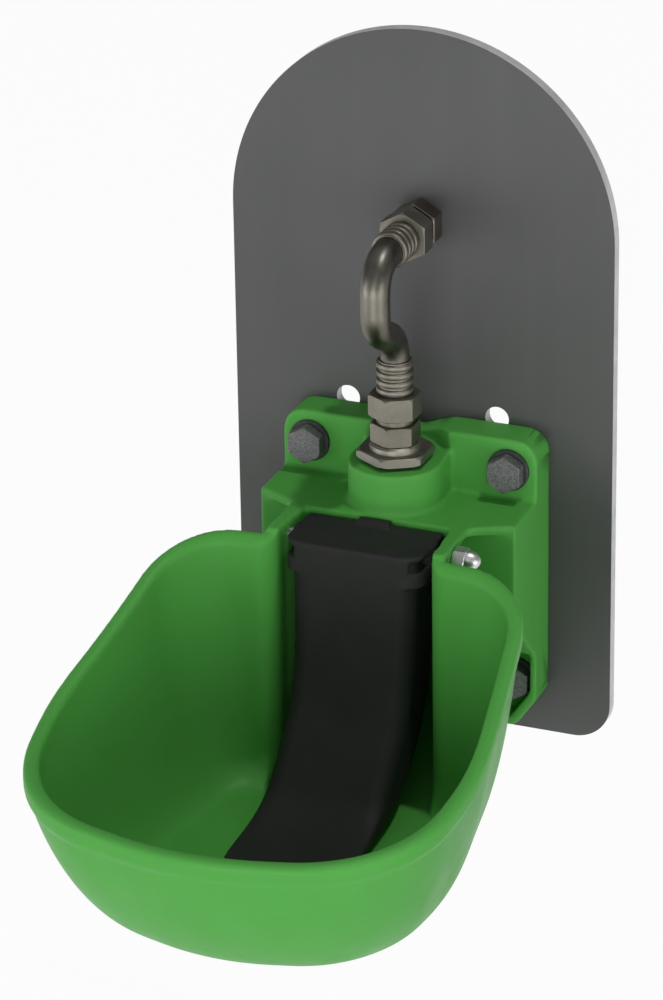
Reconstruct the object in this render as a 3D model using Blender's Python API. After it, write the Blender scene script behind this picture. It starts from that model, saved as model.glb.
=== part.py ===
"""Livestock drinking bowl on a mounting plate, with a tongue-operated valve.

Metres, +Z up. The origin is the middle of the plate's back face, which lies on
the wall. +Y points into the wall, so the bowl reaches out towards -Y.
Depths below are measured outwards from the plate's front face.
"""
import math

import bmesh
import bpy
from mathutils import Matrix, Vector

# Clearances
GAP = 0.0003            # between pieces that touch
RUN = 0.0004            # radial play of a pin or a bolt in its hole

# Mounting plate
PLATE_W = 0.250
PLATE_H = 0.457
PLATE_T = 0.008
PLATE_CORNER = 0.024
SPARE_HOLE_R = 0.00775
SPARE_TOP_X = 0.0495    # pair of unused holes above the casting
SPARE_TOP_Z = 0.0025    # their height above the casting's top edge

# Cast back of the bowl
CAST_DROP = 0.124       # from the middle of the plate's arc to the casting's top
CAST_W = 0.168
CAST_H = 0.196
CAST_CORNER = 0.014
CAST_CHAMFER = 0.014
CAST_CHAMFER_H = 0.020
CAST_CHAMFER_R = 0.008
NOTCH_W = 0.043
NOTCH_DEEP = 0.008
NOTCH_R = 0.012
NOTCH_EDGE_R = 0.020
EAR_DEPTH = 0.0235      # face that the upper bolts clamp, and edge of the lower pockets
LIP_T = 0.0045
WEB_DEPTH = 0.008       # floor of the pockets that the lower bolts clamp
CORE_WALL = 0.006
DISH_TOP_R = 0.032      # spanner room round the valve, between the ears
DISH_LOW_R = 0.040
SHELF_DROP = 0.039
SHELF_T = 0.006
SHELF_SIDE = 0.062      # depth of the shelf's front edge at the sides
SHELF_MID = 0.0775      # and in the middle
SHELF_STEP = 0.0715     # where the side part turns into a horn
SHELF_STEP_W = 0.004
BOX_DEPTH = 0.062       # boxes either side of the well
BOX_INNER = 0.040
BOX_DROP = 0.108        # where their front turns back to the wall
BOX_FOOT = 0.144

# Boss that holds the valve
BOSS_R = 0.033
BOSS_RISE = 0.023
BOSS_OUT = 0.0455
BOSS_BORE_R = 0.0145
BOSS_EDGE = 0.002

# Tongue well between the bowl and the wall
WELL_R = 0.030
WELL_WALL = 0.005
WELL_MOUTH = 0.0500     # half-width at the front
WELL_WAIST = 0.0440
WELL_WAIST_OUT = 0.078
WELL_RISE = 0.030       # its foot rises towards the wall
HORN_T = 0.008
HORN_FLARE = 0.012      # the well's mouth curves out into the bowl's rear wall
HORN_REACH_TOP = 0.0135
HORN_REACH_FOOT = 0.0175
LUG_R = 0.009           # lugs that carry the hinge pin, outside the well
LUG_WEB = 0.0025        # metal left at the blind end of the left lug

# Bowl
BOWL_BACK = 0.1115      # depth of the rear wall's outside
BOWL_FRONT = 0.391
BOWL_HALF_W = 0.138
BOWL_REAR_R = 0.050
BOWL_SIDE_R = 0.200
BOWL_FRONT_R = 0.095
BOWL_NOSE_R = 0.190
REAR_SHARE = 0.85       # half-width at the rear corners, as a share of the greatest
REAR_BOW = 0.006        # how far the rear corners stand forward
WIDEST_SHARE = 0.53     # where the bowl is widest, as a share of its length
FRONT_SHARE = 0.905
FRONT_BOW = 0.030
BOWL_DEEP = 0.175       # from the shelf down to the underside
BOWL_FALL = 0.078       # how far the rim falls from back to front
BOWL_SWEEP = 1.85
BOWL_FLOOR_T = 0.0045
RIM_W = 0.0095
RIM_H = 0.011
RIM_OVERHANG = 0.003
RIM_CROWN = 0.003       # height of the rim's rounded top
RIM_INSIDE_H = 0.006
FLOOR_WIDTH = 0.65      # the floor's plan, as shares of the rim's
FLOOR_LENGTH = 0.77
SIDE_TAPER = 0.36       # share of the narrowing that the straight wall takes

# Fixing bolts
BOLT_R = 0.006
BOLT_HEAD_AF = 0.0185
BOLT_HEAD_H = 0.0077
BOLT_CHAMFER = 0.0012
BOLT_TIP = 0.0008
WASHER_R = 0.0122
WASHER_T = 0.0024
BOLT_X = 0.066
BOLT_TOP_DROP = 0.0194
BOLT_LOW_DROP = 0.1685

# Pipe and its fittings
PIPE_R = 0.0092
PIPE_WALL = 0.0012
PIPE_BEND_R = 0.020
PIPE_KNEE_LOW = 0.067   # height of the lower knee above the casting's top
PIPE_KNEE_HIGH = 0.082
PIPE_OUT = 0.0767       # depth of the pipe's outer run
PIPE_INLET_Z = 0.0025   # inlet height above the middle of the plate's arc
FLARE_R = 0.0115
FLARE_T = 0.0024
SEAL_T = 0.0020
FITTING_BORE_R = 0.0065
NIPPLE_R = 0.0105
NIPPLE_L = 0.0080
NUT_AF = 0.031
NUT_L = 0.017
NUT_CHAMFER = 0.0014
NUT_PLAY = 0.0004
ADAPTER_AF = 0.026
ADAPTER_L = 0.012
ADAPTER_CHAMFER = 0.0010
COLLAR_R = 0.0118
COLLAR_L = 0.0035
RIB_R = 0.0117
RIB_ROOT_R = 0.0103
RIB_COUNT = 4
RIB_LENGTH = 0.023
WALL_SPIGOT_R = 0.0125

# Valve in the boss
VALVE_FLANGE_AF = 0.0435
VALVE_FLANGE_T = 0.0083
FLANGE_CHAMFER = 0.0014
VALVE_LENGTH = 0.0240   # below the boss's top
VALVE_BORE_R = 0.0100
VALVE_FLOOR_T = 0.0035
VALVE_PORT_R = 0.0052
SEAT_T = 0.0030
SEAT_R = 0.0090
SEAT_PORT_R = 0.0046
DISC_R = 0.0080
DISC_T = 0.0028
STEM_R = 0.0030
STEM_HEAD_R = 0.0072
STEM_HEAD_T = 0.0018
STEM_END = 0.0020       # spigot above the head, inside the spring
STEM_TAPER = 0.0010
SPRING_R = 0.0052
SPRING_WIRE_R = 0.0007
SPRING_TURNS = 4
BOSS_SEAL_T = 0.0015
BOSS_SEAL_R = 0.0200
SPIGOT_L = 0.0060

# Tongue
HEAD_W = 0.091
HEAD_BACK = 0.0785
HEAD_FRONT = 0.1265
HEAD_CORNER = 0.018
HEAD_REAR_R = 0.003
COLLAR_BACK = 0.092     # the head narrows below its cap, as the well does
CAP_T = 0.0035
CAP_DROP = 0.0005       # the cap's top lies just below the shelf's
GROOVE_H = 0.0080
GROOVE_DEEP = 0.0045
GROOVE_FACE_W = 0.072
COLLAR_H = 0.0095
PADDLE_W = 0.0735
PADDLE_DRAFT = 0.0024   # each side of the face draws in this much
PADDLE_DRAFT_DROP = 0.110
PADDLE_CORNER = 0.011
PADDLE_SKIN = 0.0045
HOLLOW_START = 3        # first of the paddle's stations that is hollow behind
ARM_W = 0.018
ARM_T = 0.007
ARM_REACH = 0.012       # past the valve stem
ARM_DROP = 0.0085       # its top, below the shelf
PIN_R = 0.0040
PIN_DEPTH = 0.097
PIN_DROP = 0.0095       # below the shelf
DOME_AF = 0.0135
DOME_CHAMFER = 0.0011
DOME_HEX_L = 0.0080
DOME_L = 0.0085

# Places that follow from the sizes
FACE = -PLATE_T
ARC_Z = PLATE_H / 2 - PLATE_W / 2
CAST_TOP = ARC_Z - CAST_DROP
SHELF_Z = CAST_TOP - SHELF_DROP
BOSS_Z = SHELF_Z + BOSS_RISE
BOSS_Y = FACE - BOSS_OUT
UNDERSIDE = SHELF_Z - BOWL_DEEP
FLOOR_Z = UNDERSIDE + BOWL_FLOOR_T
PIN_Y = FACE - PIN_DEPTH
PIN_Z = SHELF_Z - PIN_DROP
INLET_Z = ARC_Z + PIPE_INLET_Z
RING = 24               # points round a fitting; a multiple of six keeps its hexagon sharp


def clear_scene():
    for old in list(bpy.data.objects):
        bpy.data.objects.remove(old, do_unlink=True)


def material(name, colour, roughness, metallic):
    mat = bpy.data.materials.new(name)
    mat.use_nodes = True
    shader = mat.node_tree.nodes["Principled BSDF"]
    shader.inputs["Base Color"].default_value = (*colour, 1.0)
    shader.inputs["Roughness"].default_value = roughness
    shader.inputs["Metallic"].default_value = metallic
    return mat


def add_object(name, mesh_builder, mat, smooth=True, origin=None):
    """Make an object from a bmesh; its origin may sit on a joint's axis."""
    mesh = bpy.data.meshes.new(name)
    bmesh.ops.recalc_face_normals(mesh_builder, faces=mesh_builder.faces)
    if origin is not None:
        bmesh.ops.translate(mesh_builder, vec=-Vector(origin), verts=mesh_builder.verts)
    mesh_builder.to_mesh(mesh)
    mesh_builder.free()
    obj = bpy.data.objects.new(name, mesh)
    bpy.context.scene.collection.objects.link(obj)
    if origin is not None:
        obj.location = origin
    if mat is not None:
        mesh.materials.append(mat)
    if smooth:
        mesh.shade_smooth()
        mesh.set_sharp_from_angle(angle=math.radians(35))
    return obj


def boolean(target, tool, operation):
    """Join or cut with a guide solid, which stays hidden in the file."""
    tool.hide_render = True
    tool.hide_viewport = False
    tool.display_type = "WIRE"
    step = target.modifiers.new(tool.name, "BOOLEAN")
    step.operation = operation
    step.solver = "EXACT"
    step.object = tool


def loft(rings, closed=False):
    """Skin rings of equal length; the ends are filled unless it closes on itself."""
    bm = bmesh.new()
    rows = [[bm.verts.new(point) for point in ring] for ring in rings]
    pairs = list(zip(rows, rows[1:]))
    if closed:
        pairs.append((rows[-1], rows[0]))
    for low, high in pairs:
        for i in range(len(low)):
            j = (i + 1) % len(low)
            bm.faces.new((low[i], low[j], high[j], high[i]))
    if not closed:
        bm.faces.new(list(reversed(rows[0])))
        bm.faces.new(rows[-1])
    return bm


def rounded(corners, radii, step=math.radians(15)):
    """Closed outline through 2D corners, each turned with its own radius."""
    outline = []
    count = len(corners)
    for i, corner in enumerate(corners):
        here = Vector(corner)
        back = (Vector(corners[i - 1]) - here).normalized()
        ahead = (Vector(corners[(i + 1) % count]) - here).normalized()
        outline.extend(fillet(here, back, ahead, radii[i], step))
    return outline


def fillet(corner, back, ahead, radius, step):
    """Points of the arc that turns one corner."""
    turn = math.pi - back.angle(ahead)
    if radius <= 0 or turn < 1e-4:
        return [tuple(corner)]
    reach = radius * math.tan(turn / 2)
    start = corner + back * reach
    end = corner + ahead * reach
    middle = corner + (back + ahead).normalized() * (radius / math.cos(turn / 2))
    pieces = max(1, math.ceil(turn / step))
    arm = start - middle
    sweep = turn if arm.cross(end - middle) > 0 else -turn
    return [tuple(middle + Matrix.Rotation(sweep * k / pieces, 2) @ arm) for k in range(pieces + 1)]


def plate_prism(outline, y_near, y_far):
    """Extrude an (x, z) outline along Y."""
    return loft([[(x, y, z) for x, z in outline] for y in (y_near, y_far)])


def floor_prism(outline, z_low, z_high):
    """Extrude an (x, y) outline along Z."""
    return loft([[(x, y, z) for x, y in outline] for z in (z_low, z_high)])


def side_prism(outline, x_low, x_high):
    """Extrude a (y, z) outline along X."""
    return loft([[(x, y, z) for y, z in outline] for x in (x_low, x_high)])


def turned(profile, count, frame=None):
    """Revolve a closed (radius, height) profile; frame places its axis."""
    frame = frame or Matrix.Identity(4)
    on_axis = profile[0][0] == 0
    rings = profile[1:-1] if on_axis else profile
    turns = [2 * math.pi * k / count for k in range(count)]
    points = [[frame @ Vector((r * math.cos(a), r * math.sin(a), h)) for a in turns] for r, h in rings]
    return loft(points, closed=not on_axis)


def ring_profile(inner, outer, low, high):
    return [(inner, low), (outer, low), (outer, high), (inner, high)]


def round_ring(z, radius):
    turns = [2 * math.pi * k / RING for k in range(RING)]
    return [Vector((radius * math.cos(a), radius * math.sin(a), z)) for a in turns]


def hex_ring(z, across_flats, limit=1.0):
    """Level of a hexagon; limit turns its corners off, as a lathe does."""
    points = []
    for k in range(RING):
        a = 2 * math.pi * k / RING
        folded = (a + math.pi / 6) % (math.pi / 3) - math.pi / 6
        r = min(across_flats / 2 / math.cos(folded), limit)
        points.append(Vector((r * math.cos(a), r * math.sin(a), z)))
    return points


def hex_levels(low, high, across_flats, chamfer, low_too=False):
    """Rings of a hexagonal length with a chamfered top, and bottom if wanted."""
    turned_r = across_flats / 2 * 1.02
    rings = [hex_ring(low, across_flats)]
    if low_too:
        rings = [hex_ring(low, across_flats, turned_r), hex_ring(low + chamfer, across_flats)]
    return rings + [hex_ring(high - chamfer, across_flats), hex_ring(high, across_flats, turned_r)]


def add_fitting(name, outside, bore, frame, mat):
    """Turned and milled piece: its outside rings upwards, then its bore's back down."""
    rings = [[frame @ point for point in ring] for ring in outside + bore]
    return add_object(name, loft(rings, closed=bool(bore)), mat)


def join_cylinder(obj, radius, low, high, frame, name, operation, count=24):
    """Add or cut a round bar along local Z of frame."""
    profile = [(0, low), (radius, low), (radius, high), (0, high)]
    bar = add_object(name, turned(profile, count, frame), None)
    boolean(obj, bar, operation)


def along_y(x, z):
    """Frame whose local Z runs along -Y, out from the wall, at the plate's face."""
    turn = Matrix.Rotation(math.pi / 2, 4, "X")
    return Matrix.Translation((x, FACE, z)) @ turn


def along_x(y, z):
    turn = Matrix.Rotation(math.pi / 2, 4, "Y")
    return Matrix.Translation((0, y, z)) @ turn


def boss_frame(z):
    return Matrix.Translation((0, BOSS_Y, z))


# Mounting plate

def plate_outline():
    half = PLATE_W / 2
    steps = 40
    arch = [(half * math.cos(math.pi * k / steps), ARC_Z + half * math.sin(math.pi * k / steps))
            for k in range(steps + 1)]
    foot = -PLATE_H / 2
    corners = []
    for side in (-1, 1):
        middle = (side * (half - PLATE_CORNER), foot + PLATE_CORNER)
        for k in range(7):
            a = math.radians(180 + 15 * k) if side < 0 else math.radians(270 + 15 * k)
            corners.append((middle[0] + PLATE_CORNER * math.cos(a),
                            middle[1] + PLATE_CORNER * math.sin(a)))
    return arch + corners


def bolt_places():
    """Name, x, z and clamped depth of each fixing bolt."""
    rows = (("upper", CAST_TOP - BOLT_TOP_DROP, EAR_DEPTH), ("lower", CAST_TOP - BOLT_LOW_DROP, WEB_DEPTH))
    for row, z, depth in rows:
        for side, x in (("left", -BOLT_X), ("right", BOLT_X)):
            yield row + "_" + side, x, z, depth


def make_plate(steel):
    plate = add_object("mounting_plate", plate_prism(plate_outline(), 0.0, FACE), steel)
    for name, x, z, depth in bolt_places():
        join_cylinder(plate, BOLT_R + RUN, -0.01, 0.02, along_y(x, z), "guide_plate_bolt_" + name,
                      "DIFFERENCE")
    for side in (-1, 1):
        join_cylinder(plate, SPARE_HOLE_R, -0.02, 0.02, along_y(side * SPARE_TOP_X, CAST_TOP + SPARE_TOP_Z),
                      "guide_plate_spare_%d" % side, "DIFFERENCE")
    join_cylinder(plate, WALL_SPIGOT_R + RUN, -0.02, 0.02, along_y(0, INLET_Z), "guide_plate_inlet",
                  "DIFFERENCE", 32)
    return plate


# Bowl casting

def mirrored(half):
    """Closed outline from its right half, listed from the back to the front."""
    left = [(-x, y) for x, y in reversed(half) if x > 1e-6]
    return half + left


def cast_outline(inset=0.0):
    half = CAST_W / 2 - inset
    top = CAST_TOP - inset
    foot = CAST_TOP - CAST_H + inset
    cut = CAST_CHAMFER
    notch = NOTCH_W / 2
    corners = [(0, top - NOTCH_DEEP), (notch, top), (half, top), (half, foot + CAST_CHAMFER_H),
               (half - cut, foot), (-half + cut, foot), (-half, foot + CAST_CHAMFER_H), (-half, top),
               (-notch, top)]
    turn = max(CAST_CORNER - inset, 0.002)
    low = CAST_CHAMFER_R
    radii = [NOTCH_R, NOTCH_EDGE_R, turn, low, low, low, low, turn, NOTCH_EDGE_R]
    return rounded(corners, radii)


def clip_below(outline, z):
    return [(x, min(height, z)) for x, height in outline]


def unique(outline):
    """Drop points that clipping has laid on top of each other."""
    kept = []
    for point in outline:
        if not kept or (Vector(point) - Vector(kept[-1])).length > 1e-5:
            kept.append(point)
    if (Vector(kept[0]) - Vector(kept[-1])).length < 1e-5:
        kept.pop()
    return kept


def rim_height(y):
    """The rim falls steeply from the shelf and levels out at the front."""
    length = BOWL_FRONT - BOWL_BACK
    t = min(max((FACE - BOWL_BACK - y) / length, 0.0), 1.0)
    return SHELF_Z - BOWL_FALL * (1 - (1 - t) ** BOWL_SWEEP)


def bowl_outline(inset):
    """The bowl's plan, drawn in from its greatest size by an inset."""
    wide = BOWL_HALF_W - inset
    back = FACE - BOWL_BACK - inset
    front = FACE - BOWL_FRONT + inset
    length = BOWL_FRONT - BOWL_BACK
    corners = [(0, back), (wide * REAR_SHARE, back - REAR_BOW),
               (wide, back - WIDEST_SHARE * length + inset),
               (wide * FRONT_SHARE, front + FRONT_BOW), (0, front)]
    radii = [0, BOWL_REAR_R - inset, BOWL_SIDE_R, BOWL_FRONT_R - inset, BOWL_NOSE_R]
    return rounded([(-x, y) for x, y in reversed(corners[1:4])] + corners,
                   list(reversed(radii[1:4])) + radii, math.radians(9))


def even(outline, count):
    """Points at equal steps along a closed outline, starting at its back."""
    loop = [Vector(p) for p in outline]
    start = max(range(len(loop)), key=lambda i: (round(loop[i].y, 5), -abs(loop[i].x)))
    loop = loop[start:] + loop[:start]
    spans = [(loop[(i + 1) % len(loop)] - p).length for i, p in enumerate(loop)]
    total = sum(spans)
    points = []
    i = 0
    passed = 0.0
    for k in range(count):
        want = total * k / count
        while passed + spans[i] < want:
            passed += spans[i]
            i += 1
        t = (want - passed) / spans[i]
        points.append(tuple(loop[i].lerp(loop[(i + 1) % len(loop)], t)))
    return points


def bowl_ring(inset, narrow, height):
    """One level of the bowl: narrow runs from the rim's plan to the floor's."""
    count = 72
    outline = even(bowl_outline(inset), count)
    back = FACE - BOWL_BACK - inset
    wide = 1 - narrow * (1 - FLOOR_WIDTH)
    long = 1 - narrow * (1 - FLOOR_LENGTH)
    return [(x * wide, back + (y - back) * long, height(y)) for x, y in outline]


def wall_levels(count):
    """Share of the depth left, and of the narrowing done, down a bowl wall."""
    levels = []
    for k in range(1, count + 1):
        a = math.pi / 2 * k / count
        left = (1 - math.sin(a)) if k < count else 0.0
        levels.append((left, SIDE_TAPER * (1 - left) + (1 - SIDE_TAPER) * (1 - math.cos(a))))
    return levels


def bowl_shell():
    """The bowl as one closed skin: underside, outside, rim, inside, floor."""
    under = UNDERSIDE
    levels = wall_levels(9)
    outside = []
    for left, narrow in reversed(levels):
        outside.append(bowl_ring(RIM_OVERHANG, narrow,
                                 lambda y, s=left: under + (rim_height(y) - RIM_H - RIM_CROWN - under) * s))
    outside.append(bowl_ring(RIM_OVERHANG, 0, lambda y: rim_height(y) - RIM_H - RIM_CROWN))
    rim = [bowl_ring(0.0, 0, lambda y: rim_height(y) - RIM_H)]
    bead = RIM_W / 2
    for k in range(7):
        a = math.pi * k / 6
        rim.append(bowl_ring(bead - bead * math.cos(a), 0,
                             lambda y, s=math.sin(a): rim_height(y) - RIM_CROWN * (1 - s)))
    inside = []
    for left, narrow in levels:
        inside.append(bowl_ring(RIM_W, narrow,
                                lambda y, s=left: FLOOR_Z + (rim_height(y) - RIM_INSIDE_H - FLOOR_Z) * s))
    return loft(outside + rim + inside)


def well_outline(grow):
    """Plan of the tongue's well: a round back that widens to its mouth."""
    mouth = FACE - BOWL_BACK - 0.001
    half = []
    turns = 8
    for k in range(turns + 1):
        a = math.pi / 2 * (1 - k / turns)
        radius = WELL_R + grow
        half.append((radius * math.cos(a), BOSS_Y + radius * math.sin(a)))
    half.append((WELL_WAIST + grow, FACE - WELL_WAIST_OUT))
    half.append((WELL_MOUTH + grow, mouth + 0.008))
    return half, mouth


def well_outer():
    half, mouth = well_outline(WELL_WALL)
    half.append((WELL_MOUTH + WELL_WALL, mouth - 0.004))
    outline = mirrored(half)
    near = BOSS_Y + WELL_R + WELL_WALL

    def foot(y):
        t = (near - y) / (near - mouth)
        return UNDERSIDE + WELL_RISE * max(0.0, 1 - t) ** 2

    low = [(x, y, foot(y)) for x, y in outline]
    high = [(x, y, SHELF_Z - SHELF_T / 2) for x, y in outline]
    return loft([low, high])


def flared_edge(reach):
    """Right edge of the well's mouth; reach is how far it goes through the rear wall."""
    mouth = FACE - BOWL_BACK - 0.001
    turns = [math.pi / 2 * k / 5 for k in range(6)]
    return [(WELL_MOUTH + HORN_FLARE * (1 - math.cos(a)), mouth - reach * math.sin(a)) for a in turns]


def well_inner():
    half, mouth = well_outline(0.0)
    low_plan = mirrored(half + flared_edge(HORN_REACH_FOOT))
    high_plan = mirrored(half + flared_edge(HORN_REACH_TOP))
    near = BOSS_Y + WELL_R

    def foot(y):
        t = (near - y) / (near - mouth)
        return FLOOR_Z + WELL_RISE * min(1.0, max(0.0, 1 - t)) ** 2

    low = [(x, y, foot(y) + GAP) for x, y in low_plan]
    high = [[(x, y, SHELF_Z - SHELF_T * down) for x, y in high_plan] for down in (2, 1)]
    return loft([low] + high)


def cap_slot():
    """Opening over the tongue's head, between the two horns."""
    mouth = FACE - BOWL_BACK - 0.001
    back = FACE - SHELF_MID
    half = [(0, back), (WELL_MOUTH - 0.0025, back), (WELL_MOUTH, mouth + 0.006)]
    return floor_prism(mirrored(half + flared_edge(HORN_REACH_TOP)), SHELF_Z - SHELF_T * 2, SHELF_Z + 0.02)


def shelf_solid():
    """Shelf over the well, with the two horns that run on to the rim."""
    horn = WELL_MOUTH + HORN_T
    mouth = FACE - BOWL_BACK - 0.004
    half = [(0, FACE - WEB_DEPTH / 2), (CAST_W / 2 - LIP_T / 2, FACE - WEB_DEPTH / 2),
            (CAST_W / 2 - LIP_T / 2, FACE - SHELF_SIDE), (horn + SHELF_STEP_W, FACE - SHELF_STEP),
            (horn, FACE - SHELF_STEP - SHELF_STEP_W), (horn, mouth)]
    return floor_prism(mirrored(half), SHELF_Z - SHELF_T, SHELF_Z)


def box_solid(side, wall=0.0):
    """Box beside the well; with a wall it is the core that hollows it from behind."""
    top = SHELF_Z - wall
    near = FACE + 0.01 if wall else FACE - WEB_DEPTH / 2
    turn = CAST_TOP - BOX_DROP
    foot = CAST_TOP - BOX_FOOT + wall * 1.4
    outline = [(near, top), (FACE - BOX_DEPTH + wall, top), (FACE - BOX_DEPTH + wall, turn),
               (FACE - EAR_DEPTH + wall, foot), (near, foot)]
    return side_prism(outline, side * (BOX_INNER + wall), side * (CAST_W / 2 - wall))


def dish():
    """Room round the boss, so that a spanner reaches the valve between the ears."""
    top = CAST_TOP + 0.005
    return turned([(0, SHELF_Z), (DISH_LOW_R, SHELF_Z), (DISH_TOP_R, top), (0, top)], 48, boss_frame(0))


def make_casting(green):
    cast = add_object("bowl_casting", plate_prism(cast_outline(), FACE - GAP, FACE - EAR_DEPTH), green)
    far = FACE - EAR_DEPTH - 0.05
    pocket_top = CAST_TOP - BOX_FOOT
    pocket = unique(clip_below(cast_outline(LIP_T), pocket_top))
    boolean(cast, add_object("guide_pocket", plate_prism(pocket, FACE - WEB_DEPTH, far), None), "DIFFERENCE")
    boolean(cast, add_object("guide_dish", dish(), None), "DIFFERENCE")
    boolean(cast, add_object("guide_shelf", shelf_solid(), None), "UNION")
    for side in (-1, 1):
        boolean(cast, add_object("guide_box_%d" % side, box_solid(side), None), "UNION")
    boss = [(0, SHELF_Z - SHELF_T), (BOSS_R, SHELF_Z - SHELF_T), (BOSS_R, BOSS_Z - BOSS_EDGE),
            (BOSS_R - BOSS_EDGE, BOSS_Z), (0, BOSS_Z)]
    boolean(cast, add_object("guide_boss", turned(boss, 40, boss_frame(0)), None), "UNION")
    boolean(cast, add_object("guide_well_outside", well_outer(), None), "UNION")
    lug_face = WELL_MOUTH + HORN_T
    for side in (-1, 1):
        ends = sorted((side * (WELL_MOUTH + WELL_WALL / 2), side * lug_face))
        join_cylinder(cast, LUG_R, *ends, along_x(PIN_Y, PIN_Z), "guide_lug_%d" % side, "UNION", 32)
    boolean(cast, add_object("guide_bowl", bowl_shell(), None), "UNION")
    boolean(cast, add_object("guide_well_inside", well_inner(), None), "DIFFERENCE")
    boolean(cast, add_object("guide_cap_slot", cap_slot(), None), "DIFFERENCE")
    join_cylinder(cast, BOSS_BORE_R, SHELF_Z - 0.02, BOSS_Z + 0.01, boss_frame(0), "guide_boss_bore",
                  "DIFFERENCE", 32)
    for name, x, z, depth in bolt_places():
        join_cylinder(cast, BOLT_R + RUN, -0.005, depth + 0.004, along_y(x, z),
                      "guide_cast_bolt_" + name, "DIFFERENCE")
    for side in (-1, 1):
        boolean(cast, add_object("guide_core_%d" % side, box_solid(side, CORE_WALL), None), "DIFFERENCE")
    join_cylinder(cast, PIN_R + GAP, LUG_WEB - lug_face, lug_face * 1.2, along_x(PIN_Y, PIN_Z),
                  "guide_pin_bore", "DIFFERENCE", 16)
    return cast


# Fasteners

def make_bolts(steel, washer_steel):
    for name, x, z, depth in bolt_places():
        seat = depth + GAP
        frame = along_y(x, z)
        washer = turned(ring_profile(BOLT_R + RUN, WASHER_R, seat, seat + WASHER_T), 32, frame)
        add_object("washer_" + name, washer, washer_steel)
        under = seat + WASHER_T + GAP
        shank = [round_ring(-PLATE_T + GAP, BOLT_R - BOLT_TIP), round_ring(-PLATE_T + GAP + BOLT_TIP, BOLT_R),
                 round_ring(under, BOLT_R)]
        head = hex_levels(under, under + BOLT_HEAD_H, BOLT_HEAD_AF, BOLT_CHAMFER)
        add_fitting("bolt_" + name, shank + head, [], frame, steel)


# Valve

def seat_top():
    return BOSS_Z - VALVE_LENGTH + VALVE_FLOOR_T + GAP + SEAT_T


def make_valve(brass, steel, rubber, seat_mat):
    base = BOSS_Z + BOSS_SEAL_T + 2 * GAP
    low = BOSS_Z - VALVE_LENGTH
    top = base + VALVE_FLANGE_T
    outside = [round_ring(low, BOSS_BORE_R - RUN), round_ring(base, BOSS_BORE_R - RUN)]
    outside += hex_levels(base, top, VALVE_FLANGE_AF, FLANGE_CHAMFER, True)
    bore = [round_ring(top, VALVE_BORE_R), round_ring(low + VALVE_FLOOR_T, VALVE_BORE_R),
            round_ring(low + VALVE_FLOOR_T, VALVE_PORT_R), round_ring(low, VALVE_PORT_R)]
    add_fitting("valve_body", outside, bore, boss_frame(0), brass)
    seal = ring_profile(BOSS_BORE_R + RUN, BOSS_SEAL_R, BOSS_Z + GAP, BOSS_Z + GAP + BOSS_SEAL_T)
    add_object("valve_seal", turned(seal, 32, boss_frame(0)), rubber)
    floor = low + VALVE_FLOOR_T + GAP
    seat = ring_profile(SEAT_PORT_R, SEAT_R, floor, floor + SEAT_T)
    add_object("valve_seat", turned(seat, 32, boss_frame(0)), seat_mat)
    disc_low = seat_top() + GAP
    disc = ring_profile(STEM_R + GAP, DISC_R, disc_low, disc_low + DISC_T)
    add_object("valve_disc", turned(disc, 24, boss_frame(0)), rubber)
    head = disc_low + DISC_T + GAP
    foot = arm_top() + GAP
    tip = head + STEM_HEAD_T + STEM_END
    stem = [(0, foot), (STEM_R - STEM_TAPER, foot), (STEM_R, foot + STEM_TAPER), (STEM_R, head),
            (STEM_HEAD_R, head), (STEM_HEAD_R, head + STEM_HEAD_T), (STEM_R, head + STEM_HEAD_T),
            (STEM_R, tip), (0, tip)]
    origin = (0, BOSS_Y, foot)
    add_object("valve_stem", turned(stem, 20, boss_frame(0)), steel, origin=origin)
    spring_low = head + STEM_HEAD_T + GAP + SPRING_WIRE_R
    spring_high = top - SPIGOT_L - GAP - SPRING_WIRE_R
    make_spring(steel, spring_low, spring_high)
    return top


def make_spring(steel, low, high):
    """Helical return spring between the stem's head and the adapter."""
    steps = 14 * SPRING_TURNS
    rings = []
    for k in range(steps + 1):
        t = k / steps
        a = 2 * math.pi * SPRING_TURNS * t
        centre = Vector((SPRING_R * math.cos(a), BOSS_Y + SPRING_R * math.sin(a), low + (high - low) * t))
        out = Vector((math.cos(a), math.sin(a), 0))
        rings.append([tuple(centre + SPRING_WIRE_R * (out * math.cos(b) + Vector((0, 0, math.sin(b)))))
                      for b in [2 * math.pi * j / 8 for j in range(8)]])
    add_object("valve_spring", loft(rings), steel)


# Pipe and fittings

def make_adapter(name, frame, brass, spigot_r, spigot_l, hex_low, length=ADAPTER_L):
    """Hex adapter with a spigot behind it and a union nipple in front."""
    hex_high = hex_low + length
    collar_top = hex_high + COLLAR_L
    tip = collar_top + NIPPLE_L
    outside = [round_ring(hex_low - spigot_l, spigot_r), round_ring(hex_low, spigot_r)]
    outside += hex_levels(hex_low, hex_high, ADAPTER_AF, ADAPTER_CHAMFER, True)
    outside += [round_ring(hex_high, COLLAR_R), round_ring(collar_top, COLLAR_R),
                round_ring(collar_top, NIPPLE_R), round_ring(tip, NIPPLE_R)]
    bore = [round_ring(tip, FITTING_BORE_R), round_ring(hex_low - spigot_l, FITTING_BORE_R)]
    add_fitting(name, outside, bore, frame, brass)
    return collar_top, tip


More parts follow.
